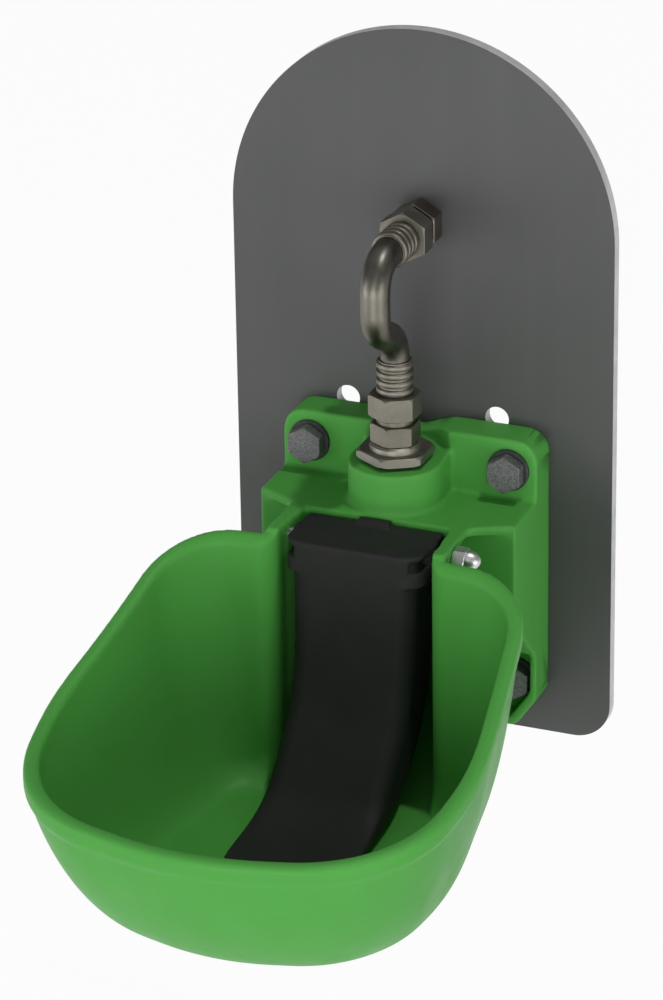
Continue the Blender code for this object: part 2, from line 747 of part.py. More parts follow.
def make_union(prefix, frame, brass, rubber, rib_mat, collar_top, tip):
    """Union nut, seal and ribbed sleeve round the end of the pipe."""
    seal = ring_profile(FITTING_BORE_R, NIPPLE_R, tip + GAP, tip + GAP + SEAL_T)
    add_object(prefix + "_union_seal", turned(seal, 24, frame), rubber)
    flare_low = tip + 2 * GAP + SEAL_T
    low = collar_top + GAP
    high = low + NUT_L
    chamber = max(FLARE_R, NIPPLE_R) + NUT_PLAY
    ledge = flare_low + FLARE_T + GAP
    bore = [round_ring(high, PIPE_R + NUT_PLAY), round_ring(ledge, PIPE_R + NUT_PLAY),
            round_ring(ledge, chamber), round_ring(low, chamber)]
    add_fitting(prefix + "_union_nut", hex_levels(low, high, NUT_AF, NUT_CHAMFER, True), bore, frame, brass)
    sleeve_low = high + GAP
    pitch = RIB_LENGTH / RIB_COUNT
    profile = [(PIPE_R + GAP, sleeve_low)]
    for k in range(RIB_COUNT):
        z = sleeve_low + pitch * k
        profile += [(RIB_ROOT_R, z), (RIB_R, z + pitch * 0.25), (RIB_R, z + pitch * 0.65),
                    (RIB_ROOT_R, z + pitch * 0.9)]
    profile.append((RIB_ROOT_R, sleeve_low + RIB_LENGTH))
    profile.append((PIPE_R + GAP, sleeve_low + RIB_LENGTH))
    add_object(prefix + "_ribbed_sleeve", turned(profile, 28, frame), rib_mat)
    return flare_low


def make_pipe(steel, start_z, start_depth):
    """Swan-neck tube in the middle plane, from the boss to the wall."""
    knee = CAST_TOP + PIPE_KNEE_LOW
    corners = [(BOSS_Y, start_z), (BOSS_Y, knee), (FACE - PIPE_OUT, CAST_TOP + PIPE_KNEE_HIGH),
               (FACE - PIPE_OUT, INLET_Z), (FACE - start_depth, INLET_Z)]
    path = [Vector(corners[0])]
    for before, here, after in zip(corners, corners[1:], corners[2:]):
        middle = Vector(here)
        path += [Vector(p) for p in fillet(middle, (Vector(before) - middle).normalized(),
                                           (Vector(after) - middle).normalized(), PIPE_BEND_R,
                                           math.radians(13))]
    path.append(Vector(corners[-1]))
    start = (path[1] - path[0]).normalized()
    end = (path[-2] - path[-1]).normalized()
    stations = [(path[0], start, FLARE_R), (path[0] + start * FLARE_T, start, FLARE_R),
                (path[0] + start * FLARE_T, start, PIPE_R)]
    for before, here, after in zip(path, path[1:], path[2:]):
        stations.append((here, (after - before).normalized(), PIPE_R))
    stations += [(path[-1] + end * FLARE_T, -end, PIPE_R), (path[-1] + end * FLARE_T, -end, FLARE_R),
                 (path[-1], -end, FLARE_R)]
    rings = [tube_ring(p, d, r) for p, d, r in stations]
    bore = PIPE_R - PIPE_WALL
    rings += [tube_ring(p, d, bore) for p, d, r in reversed(stations) if r == PIPE_R or p in path[:1]]
    rings.append(tube_ring(path[0], start, bore))
    unique_rings = [rings[0]]
    for ring in rings[1:]:
        if (Vector(ring[0]) - Vector(unique_rings[-1][0])).length > 1e-6:
            unique_rings.append(ring)
    add_object("supply_pipe", loft(unique_rings, closed=True), steel)


def tube_ring(centre, direction, radius):
    """Circle square to a direction in the middle plane."""
    across = Vector((direction.y, -direction.x))
    ring = []
    for k in range(20):
        a = 2 * math.pi * k / 20
        offset = across * radius * math.cos(a)
        ring.append((radius * math.sin(a), centre.x + offset.x, centre.y + offset.y))
    return ring


# Tongue

def arm_top():
    return SHELF_Z - ARM_DROP


def head_outline(back_depth, grow=0.0):
    half = HEAD_W / 2 + grow
    back = FACE - back_depth
    front = FACE - HEAD_FRONT - grow
    turn = HEAD_CORNER + grow
    return rounded([(half, back), (-half, back), (-half, front), (half, front)],
                   [HEAD_REAR_R, HEAD_REAR_R, turn, turn])


def paddle_stations():
    """Front and rear edge of the paddle, down its length, as (depth, drop) pairs."""
    front = smooth([(0.1255, 0.0028), (0.1320, 0.022), (0.1355, 0.050), (0.1370, 0.075), (0.1400, 0.093),
                    (0.1465, 0.1075), (0.1570, 0.119), (0.1690, 0.130), (0.1850, 0.1425), (0.2030, 0.1545),
                    (0.2224, 0.1639)])
    rear = smooth([(0.0930, 0.010), (0.0850, 0.040), (0.0840, 0.065), (0.0850, 0.085), (0.0900, 0.100),
                   (0.0990, 0.115), (0.1110, 0.128), (0.1240, 0.140), (0.1370, 0.152), (0.1510, 0.160),
                   (0.1680, 0.1667)])
    return list(zip(front, rear))


def smooth(points, parts=2):
    """Points along a curve that passes through all the given ones."""
    ends = [points[0]] + points + [points[-1]]
    curve = []
    for a, b, c, d in zip(ends, ends[1:], ends[2:], ends[3:]):
        for k in range(parts):
            t = k / parts
            curve.append(tuple(0.5 * (2 * q + (r - p) * t + (2 * p - 5 * q + 4 * r - s) * t * t
                                      + (3 * q - p - 3 * r + s) * t ** 3)
                               for p, q, r, s in zip(a, b, c, d)))
    curve.append(points[-1])
    return curve


def halfway(stations):
    """Stations midway between the given ones, so that the hollow's edges cross the skin's."""
    return [tuple(tuple((a + b) / 2 for a, b in zip(p, q)) for p, q in zip(low, high))
            for low, high in zip(stations, stations[1:])]


def paddle_solid(stations, shrink):
    half = PADDLE_W / 2 - shrink
    turn = max(PADDLE_CORNER - shrink, 0.002)
    rings = []
    for (fy, fz), (ry, rz) in stations:
        front = Vector((FACE - fy, SHELF_Z - fz))
        rear = Vector((FACE - ry, SHELF_Z - rz))
        inward = (rear - front).normalized()
        front = front + inward * shrink
        rear = rear + inward * shrink
        depth = (rear - front).length
        face = half - PADDLE_DRAFT * min(1.0, fz / PADDLE_DRAFT_DROP)
        flat = rounded([(face, 0), (-face, 0), (-half, depth), (half, depth)], [turn, turn, 0.002, 0.002])
        rings.append([(x, *(front + inward * d)) for x, d in flat])
    return loft(rings)


def make_tongue(plastic, steel):
    top = SHELF_Z - CAP_DROP
    cap = add_object("tongue", floor_prism(head_outline(HEAD_BACK), top - CAP_T, top), plastic,
                     origin=(0, PIN_Y, PIN_Z))
    half = GROOVE_FACE_W / 2
    neck_z = (top - CAP_T - GROOVE_H - 0.001, top - CAP_T + 0.001)
    neck = add_object("guide_neck", floor_prism(head_outline(COLLAR_BACK, -GROOVE_DEEP), *neck_z), None)
    boolean(cap, neck, "UNION")
    front = FACE - HEAD_FRONT
    face = rounded([(half, front + 0.02), (-half, front + 0.02), (-half, front), (half, front)], [0] * 4)
    boolean(cap, add_object("guide_neck_face", floor_prism(face, *neck_z), None), "UNION")
    collar_top = top - CAP_T - GROOVE_H
    collar = loft([[(x, y, collar_top) for x, y in head_outline(COLLAR_BACK)],
                   [(x, y, collar_top - COLLAR_H) for x, y in head_outline(COLLAR_BACK, 0.001)]])
    boolean(cap, add_object("guide_collar", collar, None), "UNION")
    stations = paddle_stations()
    boolean(cap, add_object("guide_paddle", paddle_solid(stations, 0.0), None), "UNION")
    arm_z = (arm_top() - ARM_T, arm_top())
    root = FACE - COLLAR_BACK - 0.01
    arm = rounded([(-ARM_W / 2, root), (ARM_W / 2, root),
                   (ARM_W / 2, BOSS_Y + ARM_REACH), (-ARM_W / 2, BOSS_Y + ARM_REACH)], [0, 0, 0.008, 0.008])
    boolean(cap, add_object("guide_arm", floor_prism(arm, *arm_z), None), "UNION")
    hollow = paddle_solid(halfway(stations)[HOLLOW_START:], PADDLE_SKIN)
    boolean(cap, add_object("guide_paddle_hollow", hollow, None), "DIFFERENCE")
    bar = HEAD_W
    join_cylinder(cap, PIN_R + GAP, -bar, bar, along_x(PIN_Y, PIN_Z), "guide_tongue_bore", "DIFFERENCE", 16)
    return cap


def make_pin(steel, nut_steel):
    """Hinge pin across the well: blind in the left lug, held by a dome nut on the right one."""
    lug_face = WELL_MOUTH + HORN_T
    frame = along_x(PIN_Y, PIN_Z)
    low = lug_face + GAP
    high = low + DOME_HEX_L
    tip = high + DOME_L * 0.4
    shank = [round_ring(LUG_WEB + GAP - lug_face, PIN_R), round_ring(tip, PIN_R)]
    add_fitting("hinge_pin", shank, [], frame, steel)
    outside = hex_levels(low, high, DOME_AF, DOME_CHAMFER)
    dome_r = DOME_AF / 2 * 0.96
    turns = 6
    for k in range(turns):
        a = math.pi / 2 * k / turns
        outside.append(round_ring(high + DOME_L * math.sin(a), dome_r * math.cos(a)))
    bore = PIN_R + GAP
    rings = list(reversed(outside)) + [round_ring(low, bore), round_ring(tip + GAP, bore)]
    add_fitting("dome_nut", rings, [], frame, nut_steel)


def main():
    clear_scene()
    plate_steel = material("plate_steel", (0.10, 0.10, 0.10), 0.45, 0.9)
    green = material("green_enamel", (0.07, 0.28, 0.06), 0.42, 0.0)
    bolt_steel = material("bolt_steel", (0.14, 0.14, 0.14), 0.5, 0.9)
    washer_steel = material("washer_steel", (0.06, 0.06, 0.06), 0.5, 0.8)
    fitting = material("fitting_metal", (0.30, 0.27, 0.23), 0.3, 1.0)
    wall_metal = material("wall_fitting_metal", (0.10, 0.07, 0.05), 0.35, 1.0)
    valve_metal = material("valve_metal", (0.35, 0.28, 0.23), 0.35, 1.0)
    stainless = material("stainless_steel", (0.45, 0.45, 0.44), 0.28, 1.0)
    zinc = material("bright_zinc", (0.62, 0.64, 0.62), 0.35, 0.8)
    plastic = material("tongue_plastic", (0.016, 0.016, 0.016), 0.4, 0.0)
    rubber = material("seal_rubber", (0.02, 0.02, 0.02), 0.7, 0.0)
    seat_plastic = material("seat_plastic", (0.75, 0.74, 0.70), 0.5, 0.0)
    make_plate(plate_steel)
    make_casting(green)
    make_bolts(bolt_steel, washer_steel)
    valve_top = make_valve(valve_metal, stainless, rubber, seat_plastic)
    low_frame = boss_frame(0)
    collar_top, tip = make_adapter("boss_adapter", low_frame, fitting, VALVE_BORE_R - RUN, SPIGOT_L,
                                   valve_top + GAP)
    pipe_start = make_union("lower", low_frame, fitting, rubber, fitting, collar_top, tip)
    wall_frame = along_y(0, INLET_Z)
    wall_top, wall_tip = make_adapter("wall_adapter", wall_frame, wall_metal, WALL_SPIGOT_R,
                                      PLATE_T, GAP)
    pipe_depth = make_union("upper", wall_frame, fitting, rubber, fitting, wall_top, wall_tip)
    make_pipe(fitting, pipe_start, pipe_depth)
    make_tongue(plastic, stainless)
    make_pin(stainless, zinc)


main()
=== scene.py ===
"""Dressed drinking bowl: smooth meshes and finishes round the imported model."""
import math

import bmesh
import bpy
from mathutils import Matrix, Vector


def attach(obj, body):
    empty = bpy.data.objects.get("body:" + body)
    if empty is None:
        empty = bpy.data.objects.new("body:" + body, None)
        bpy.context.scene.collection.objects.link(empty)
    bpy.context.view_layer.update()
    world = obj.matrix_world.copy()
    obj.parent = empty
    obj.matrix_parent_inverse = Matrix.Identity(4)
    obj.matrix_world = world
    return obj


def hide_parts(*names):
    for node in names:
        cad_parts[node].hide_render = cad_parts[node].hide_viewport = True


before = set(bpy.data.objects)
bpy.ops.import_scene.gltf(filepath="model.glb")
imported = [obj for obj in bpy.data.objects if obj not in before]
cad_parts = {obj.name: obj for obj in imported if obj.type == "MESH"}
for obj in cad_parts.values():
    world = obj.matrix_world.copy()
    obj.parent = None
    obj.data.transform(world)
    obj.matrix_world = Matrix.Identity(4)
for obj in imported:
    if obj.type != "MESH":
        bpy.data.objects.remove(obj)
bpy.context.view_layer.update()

# Sizes in metres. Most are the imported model's; those of the bolts, fittings, boss, horns
# and tongue are measured more closely here.
GAP = 0.0003
RUN = 0.0004
PLATE_W = 0.250
PLATE_H = 0.457
PLATE_T = 0.008
PLATE_CORNER = 0.024
PLATE_EDGE = 0.0007
SPARE_HOLE_R = 0.00775
SPARE_TOP_X = 0.0495
SPARE_TOP_Z = 0.0025

CAST_DROP = 0.124
CAST_W = 0.168
CAST_H = 0.196
CAST_CORNER = 0.014
CAST_CHAMFER = 0.014
CAST_CHAMFER_H = 0.020
CAST_CHAMFER_R = 0.008
NOTCH_W = 0.043
NOTCH_DEEP = 0.008
NOTCH_R = 0.012
NOTCH_EDGE_R = 0.020
EAR_DEPTH = 0.0235
LIP_T = 0.0045
WEB_DEPTH = 0.008
DISH_TOP_R = 0.0329
DISH_LOW_R = 0.0352
DISH_PAST = 0.005
SHELF_DROP = 0.039
SHELF_T = 0.006
SHELF_SIDE = 0.062
SHELF_MID = 0.0775
SHELF_STEP = 0.0715
SHELF_STEP_W = 0.004
BOX_DEPTH = 0.062
BOX_INNER = 0.040
BOX_DROP = 0.108
BOX_FOOT = 0.144
BOSS_R = 0.0295
BOSS_BACK_W = 0.0275       # half-width of the boss where it meets the ears
BOSS_RISE = 0.0262
BOSS_OUT = 0.0455
BOSS_BORE_R = 0.0145
WELL_R = 0.030
WELL_WALL = 0.005
WELL_MOUTH = 0.050
WELL_WAIST = 0.044
WELL_WAIST_OUT = 0.078
WELL_RISE = 0.030
WELL_STRAIGHT = 0.008      # length of the straight stretch behind the mouth
WELL_LAP = 0.004           # how far the well's walls run into the bowl
MOUTH_START = 0.002
HORN_T = 0.008
HORN_FLARE = 0.014
HORN_REACH_TOP = 0.0122
HORN_REACH_FOOT = 0.027
LUG_R = 0.009
LUG_WEB = 0.0025
SLOT_INSET = 0.0025
SLOT_STRAIGHT = 0.006
SHELF_LAP = 0.003
BOSS_SINK = 0.002
BACK_SPARE = 0.005         # depth behind the plate's face that is cut off in the end
BOWL_BACK = 0.1115
MOUTH_LAP = 0.001
BOWL_FRONT = 0.391
BOWL_HALF_W = 0.138
BOWL_REAR_R = 0.050
BOWL_SIDE_R = 0.200
BOWL_FRONT_R = 0.095
BOWL_NOSE_R = 0.190
REAR_SHARE = 0.85
REAR_BOW = 0.006
WIDEST_SHARE = 0.53
FRONT_SHARE = 0.905
FRONT_BOW = 0.030
BOWL_DEEP = 0.175
BOWL_FALL = 0.078
BOWL_SWEEP = 1.85
BOWL_FLOOR_T = 0.0045
RIM_W = 0.0095
RIM_H = 0.011
RIM_OVERHANG = 0.0024
RIM_CROWN = 0.003
RIM_INSIDE_H = 0.006
FLOOR_WIDTH = 0.65
FLOOR_LENGTH = 0.77
SIDE_TAPER = 0.36
FOOT_FILLET = 0.018

BOLT_R = 0.006
BOLT_HEAD_AF = 0.0213
BOLT_HEAD_H = 0.008
WASHER_R = 0.0135
WASHER_T = 0.0025
WASHER_EDGE = 0.0004
BOLT_TIP_EDGE = 0.0008
BOLT_X = 0.066
BOLT_TOP_DROP = 0.0194
BOLT_LOW_DROP = 0.1685

PIPE_R = 0.0092
PIPE_WALL = 0.0012
PIPE_BEND_R = 0.020
PIPE_STEP = math.radians(4)
PIPE_KNEE_LOW = 0.067
PIPE_KNEE_HIGH = 0.082
PIPE_OUT = 0.0767
PIPE_INLET_Z = 0.0025
FLARE_R = 0.0115
FLARE_T = 0.0024
SEAL_T = 0.002
FITTING_BORE_R = 0.0065
NIPPLE_R = 0.0105
NIPPLE_L = 0.007
NUT_AF = 0.0292
NUT_L = 0.0146
NUT_PLAY = 0.0004
ADAPTER_AF = 0.0272
ADAPTER_L = 0.0128
COLLAR_R = 0.0118
COLLAR_L = 0.004
RIB_R = 0.0117
RIB_ROOT_R = 0.0103
RIB_COUNT = 4
RIB_LENGTH = 0.022
RIB_STEPS = 8
RIB_FULLNESS = 0.6         # under 1 the rib is fuller than half an ellipse
RIB_LEAD = 0.08            # where a rib starts, and half its span, as shares of the pitch
RIB_SPAN = 0.38
WALL_SPIGOT_R = 0.0125

VALVE_FLANGE_AF = 0.0423
VALVE_FLANGE_T = 0.006
VALVE_DISC_R = 0.0165
VALVE_DISC_T = 0.004
VALVE_DISC_EDGE = 0.0012
VALVE_DISC_DRAFT = 0.0006
VALVE_DISC_TURN = 0.0022
VALVE_LENGTH = 0.0272
VALVE_BORE_R = 0.010
VALVE_FLOOR_T = 0.0035
VALVE_PORT_R = 0.0052
BOSS_SEAL_T = 0.0015
BOSS_SEAL_R = 0.019
SPIGOT_L = 0.0112

HEAD_W = 0.0893
HEAD_BACK = 0.0792
HEAD_FRONT = 0.1212
HEAD_CORNER = 0.0115
HEAD_REAR_R = 0.003
COLLAR_BACK = 0.092
CAP_T = 0.0035
CAP_DROP = 0.003
GROOVE_H = 0.008
GROOVE_DEEP = 0.0045
GROOVE_FACE_W = 0.074
TAB_W = 0.020              # raised tab at the rear of the cap
TAB_L = 0.006
TAB_H = 0.0032
COLLAR_H = 0.0095
COLLAR_DRAFT = 0.001
HEAD_LAP = 0.001           # how far the head's levels run into each other
GROOVE_FACE_T = 0.020
TAB_DRAW = 0.7             # the tab's foot is wider by this share of its height on each side
PADDLE_W = 0.0805
PADDLE_DRAFT = 0.002
PADDLE_DRAFT_DROP = 0.110
PADDLE_CORNER = 0.0115
PADDLE_SKIN = 0.0045
PADDLE_PARTS = 6
# Edges of the paddle down its length, as pairs of depth and drop
PADDLE_FRONT = [(0.1222, 0.004), (0.1227, 0.024), (0.1236, 0.050), (0.1256, 0.072),
                (0.1298, 0.092), (0.137, 0.108), (0.147, 0.121), (0.161, 0.1375),
                (0.1775, 0.152), (0.206, 0.160), (0.253, 0.162)]
PADDLE_REAR = [(0.095, 0.010), (0.0915, 0.040), (0.0905, 0.065), (0.0915, 0.085),
               (0.0955, 0.101), (0.103, 0.116), (0.1135, 0.130), (0.1265, 0.142),
               (0.1425, 0.1515), (0.164, 0.159), (0.205, 0.1635)]
HOLLOW_STATIONS = (9, 44)  # stretch of the paddle that is hollow from behind
ARM_W = 0.018
ARM_T = 0.007
ARM_REACH = 0.012
ARM_DROP = 0.0085
ARM_LAP = 0.010
ARM_CORNER = 0.008
HUB_R = 0.0066
HUB_REACH = 0.0458         # half-width over the hubs round the pin
PIN_R = 0.004
PIN_DEPTH = 0.097
PIN_DROP = 0.0095
DOME_AF = 0.0135
DOME_HEX_L = 0.008
DOME_L = 0.0085
DOME_SHARE = 0.96          # dome's width as a share of the hexagon's
PIN_IN_DOME = 0.4          # how far the pin reaches into the dome, as a share of its height
DOME_TURNS = 14

# Places that follow from the sizes
FACE = -PLATE_T
ARC_Z = PLATE_H / 2 - PLATE_W / 2
CAST_TOP = ARC_Z - CAST_DROP
SHELF_Z = CAST_TOP - SHELF_DROP
BOSS_Z = SHELF_Z + BOSS_RISE
BOSS_Y = FACE - BOSS_OUT
UNDERSIDE = SHELF_Z - BOWL_DEEP
FLOOR_Z = UNDERSIDE + BOWL_FLOOR_T
PIN_Y = FACE - PIN_DEPTH
PIN_Z = SHELF_Z - PIN_DROP
INLET_Z = ARC_Z + PIPE_INLET_Z
MOUTH_Y = FACE - BOWL_BACK - MOUTH_LAP

# Ends of the hexagons
HEX_TURNED = 1.07          # radius where the cone starts, as a share of half the width across flats
HEX_SLOPE = math.radians(32)
HEX_EDGE = 0.0003

# Fineness of the meshes
FINE = math.radians(5)
BOWL_STEP = math.radians(3)
BOWL_POINTS = 200
BOWL_LEVELS = 26
RIM_TURNS = 12
WELL_STEPS = 24
ARCH_STEPS = 120
CORNER_STEPS = 18
HORN_STEPS = 10
BOSS_STEPS = 36
RING = 96
CAST_VOXEL = 0.0012
CAST_ROUNDING = 12
CAST_KEPT = 0.45           # share of the skin's triangles kept
TONGUE_VOXEL = 0.0009
TONGUE_ROUNDING = 6
TONGUE_KEPT = 0.5
SMALL = 1e-5               # points closer than this count as one
LEAST_TURN = 0.002         # smallest radius given to a corner
LEAST_ANGLE = 1e-4         # a corner that turns less than this stays as it is
LEAST_HALF_W = 1e-4
TUBE_RING = 56
GUIDE_RING = 64
BORE_RING = 32
CUT_PAST = 0.02            # how far a cutter runs past what it cuts
POCKET_PAST = 0.05         # the same, for the pocket and for the boss's bore
BORE_PAST = 0.01
CUT = "DIFFERENCE"
JOIN = "UNION"

# Camera, fitted to the plate's outline in the photograph
CAMERA_PLACE = Vector((0.964428, -2.482667, 1.132245))
CAMERA_RIGHT = Vector((0.92610028, 0.37700095, -0.01444151))
CAMERA_UP = Vector((-0.14445549, 0.38969522, 0.90954398))
CAMERA_BACK = Vector((0.34852673, -0.84024278, 0.41535671))
CAMERA_LENS = 167.605
SENSOR_WIDTH = 36
CLIP_END = 40

# Floor and room
FLOOR_LEVEL = -0.50
FLOOR_HALF = 14.0
FLOOR_COLOUR = (0.85, 0.85, 0.85)
ROOM_LIGHT = 0.225
CEILING_LIGHT = 0.13
CEILING_FROM = 0.3         # upward part of a direction where its light starts, and where it is full
CEILING_TO = 0.7
FLOOR_WHITE = 0.95         # share of plain white in the floor as the camera sees it

# Lamps: name, place, aim, diameter, watts. The small one overhead casts the shadows.
LAMPS = (
    ("overhead", (0.75, -0.15, 2.5), (0, -0.10, -0.05), 0.12, 18),
    ("front_low", (0.2, -1.7, -0.38), (0, -0.25, -0.12), 1.2, 12),
    ("front", (0.5, -3.0, 0.3), (0, -0.20, -0.10), 1.8, 9),
    ("right_low", (1.6, -0.9, -0.30), (0, -0.20, -0.12), 1.2, 12),
    ("left_low", (-1.5, -1.2, -0.30), (0, -0.20, -0.12), 1.4, 14),
    ("camera_side", (0.9, -2.7, 1.6), (0, -0.20, -0.10), 1.4, 2),
)


# Mesh helpers

def loft(rings, closed=False):
    """Skin rings of equal length; the ends are filled unless it closes on itself."""
    bm = bmesh.new()
    rows = [[bm.verts.new(point) for point in ring] for ring in rings]
    pairs = list(zip(rows, rows[1:]))
    if closed:
        pairs.append((rows[-1], rows[0]))
    for low, high in pairs:
        for i in range(len(low)):
            j = (i + 1) % len(low)
            bm.faces.new((low[i], low[j], high[j], high[i]))
    if not closed:
        bm.faces.new(list(reversed(rows[0])))
        bm.faces.new(rows[-1])
    bmesh.ops.recalc_face_normals(bm, faces=bm.faces)
    return bm


def fillet(corner, back, ahead, radius, step):
    """Points of the arc that turns one corner."""
    turn = math.pi - back.angle(ahead)
    if radius <= 0 or turn < LEAST_ANGLE:
        return [tuple(corner)]
    reach = radius * math.tan(turn / 2)
    start = corner + back * reach
    end = corner + ahead * reach
    middle = corner + (back + ahead).normalized() * (radius / math.cos(turn / 2))
    pieces = max(1, math.ceil(turn / step))
    arm = start - middle
    sweep = turn if arm.cross(end - middle) > 0 else -turn
    return [tuple(middle + Matrix.Rotation(sweep * k / pieces, 2) @ arm) for k in range(pieces + 1)]


def rounded(corners, radii, step=FINE):
    """Closed outline through 2D corners, each turned with its own radius."""
    outline = []
    count = len(corners)
    for i, corner in enumerate(corners):
        here = Vector(corner)
        back = (Vector(corners[i - 1]) - here).normalized()
        ahead = (Vector(corners[(i + 1) % count]) - here).normalized()
        outline.extend(fillet(here, back, ahead, radii[i], step))
    return outline


def plate_prism(outline, y_near, y_far):
    return loft([[(x, y, z) for x, z in outline] for y in (y_near, y_far)])


def floor_prism(outline, z_low, z_high):
    return loft([[(x, y, z) for x, y in outline] for z in (z_low, z_high)])


def side_prism(outline, x_low, x_high):
    return loft([[(x, y, z) for y, z in outline] for x in (x_low, x_high)])


def round_ring(z, radius, count=RING):
    turns = [2 * math.pi * k / count for k in range(count)]
    return [Vector((radius * math.cos(a), radius * math.sin(a), z)) for a in turns]


def hex_ring(z, across_flats, limit, slope=0.0):
    """Level of a hexagon; its corners stop at a limit radius, or slope away from it."""
    points = []
    for k in range(RING):
        a = 2 * math.pi * k / RING
        folded = (a + math.pi / 6) % (math.pi / 3) - math.pi / 6
        full = across_flats / 2 / math.cos(folded)
        r = full if slope else min(full, limit)
        points.append(Vector((r * math.cos(a), r * math.sin(a), z - slope * max(0.0, full - limit))))
    return points


def hex_levels(low, high, across_flats, low_too=True):
    """Hexagonal length with fine edges, whose corners are turned off at its ends."""
    limit = across_flats / 2 * HEX_TURNED
    slope = math.tan(HEX_SLOPE)
    inner = across_flats - 2 * HEX_EDGE
    rings = []
    if low_too:
        rings.append(hex_ring(low, inner, limit - HEX_EDGE))
    rings += [hex_ring(low + HEX_EDGE, across_flats, limit, -slope),
              hex_ring(high - HEX_EDGE, across_flats, limit, slope),
              hex_ring(high, inner, limit - HEX_EDGE)]
    return rings


def turned_rings(profile):
    return [round_ring(h, r) for r, h in profile]


def placed(rings, frame_at):
    return [[frame_at @ Vector(p) for p in ring] for ring in rings]


def along_y(x, z):
    """Frame whose local Z runs along -Y, out from the wall, at the plate's face."""
    return Matrix.Translation((x, FACE, z)) @ Matrix.Rotation(math.pi / 2, 4, "X")


def along_x(y, z):
    return Matrix.Translation((0, y, z)) @ Matrix.Rotation(math.pi / 2, 4, "Y")


def at_boss():
    return Matrix.Translation((0, BOSS_Y, 0))


def as_object(name, bm):
    mesh = bpy.data.meshes.new(name)
    bmesh.ops.recalc_face_normals(bm, faces=bm.faces)
    bm.to_mesh(mesh)
    bm.free()
    obj = bpy.data.objects.new(name, mesh)
    bpy.context.scene.collection.objects.link(obj)
    return obj


def settle(obj):
    """Apply the modifiers."""
    bpy.context.view_layer.update()
    made = bpy.data.meshes.new_from_object(obj.evaluated_get(bpy.context.evaluated_depsgraph_get()))
    obj.modifiers.clear()
    obj.data = made


def carve(obj, bm, operation):
    """Join to or cut from a piece with a guide solid, at once."""
    tool = as_object("guide", bm)
    step = obj.modifiers.new("carve", "BOOLEAN")
    step.operation = operation
    step.solver = "EXACT"
    step.object = tool
    settle(obj)
    bpy.data.objects.remove(tool)


def cylinder(radius, low, high, frame_at, count=GUIDE_RING):
    return loft(placed([round_ring(low, radius, count), round_ring(high, radius, count)], frame_at))


def soften(obj, voxel, rounds, keep):
    """Turn the sharp solid into an even skin with rounded edges, then thin it out."""
    skin = obj.modifiers.new("skin", "REMESH")
    skin.mode = "VOXEL"
    skin.voxel_size = voxel
    skin.use_smooth_shade = True
    relax = obj.modifiers.new("relax", "SMOOTH")
    relax.factor = 0.5
    relax.iterations = rounds
    thin = obj.modifiers.new("thin", "DECIMATE")
    thin.ratio = keep
    settle(obj)


def cut_flat(obj, point, normal):
    """Cut off what lies beyond a plane and close the cut."""
    bm = bmesh.new()
    bm.from_mesh(obj.data)
    geometry = bm.verts[:] + bm.edges[:] + bm.faces[:]
    cut = bmesh.ops.bisect_plane(bm, geom=geometry, dist=1e-6, plane_co=point, plane_no=normal,
                                 clear_outer=True)
    rim = [e for e in cut["geom_cut"] if isinstance(e, bmesh.types.BMEdge)]
    bmesh.ops.triangle_fill(bm, use_beauty=True, use_dissolve=False, edges=rim)
    bmesh.ops.recalc_face_normals(bm, faces=bm.faces)
    bm.to_mesh(obj.data)
    bm.free()


def finish_piece(obj, mat, body, nodes, angle=35):
    """Give a piece its material and place in the frame; edges sharper than the angle stay sharp."""
    obj.data.materials.clear()
    obj.data.materials.append(mat)
    obj.data.shade_smooth()
    if angle:
        obj.data.set_sharp_from_angle(angle=math.radians(angle))
    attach(obj, body)
    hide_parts(*nodes)


def fitting(name, outside, bore, frame_at, mat, nodes):
    """Turned and milled piece: its outside rings upwards, then its bore's back down."""
    obj = as_object(name, loft(placed(outside + bore, frame_at), closed=bool(bore)))
    finish_piece(obj, mat, "bowl", nodes, angle=28)


# Materials

def set_inputs(node, values):
    for key, value in values.items():
        node.inputs[key].default_value = value


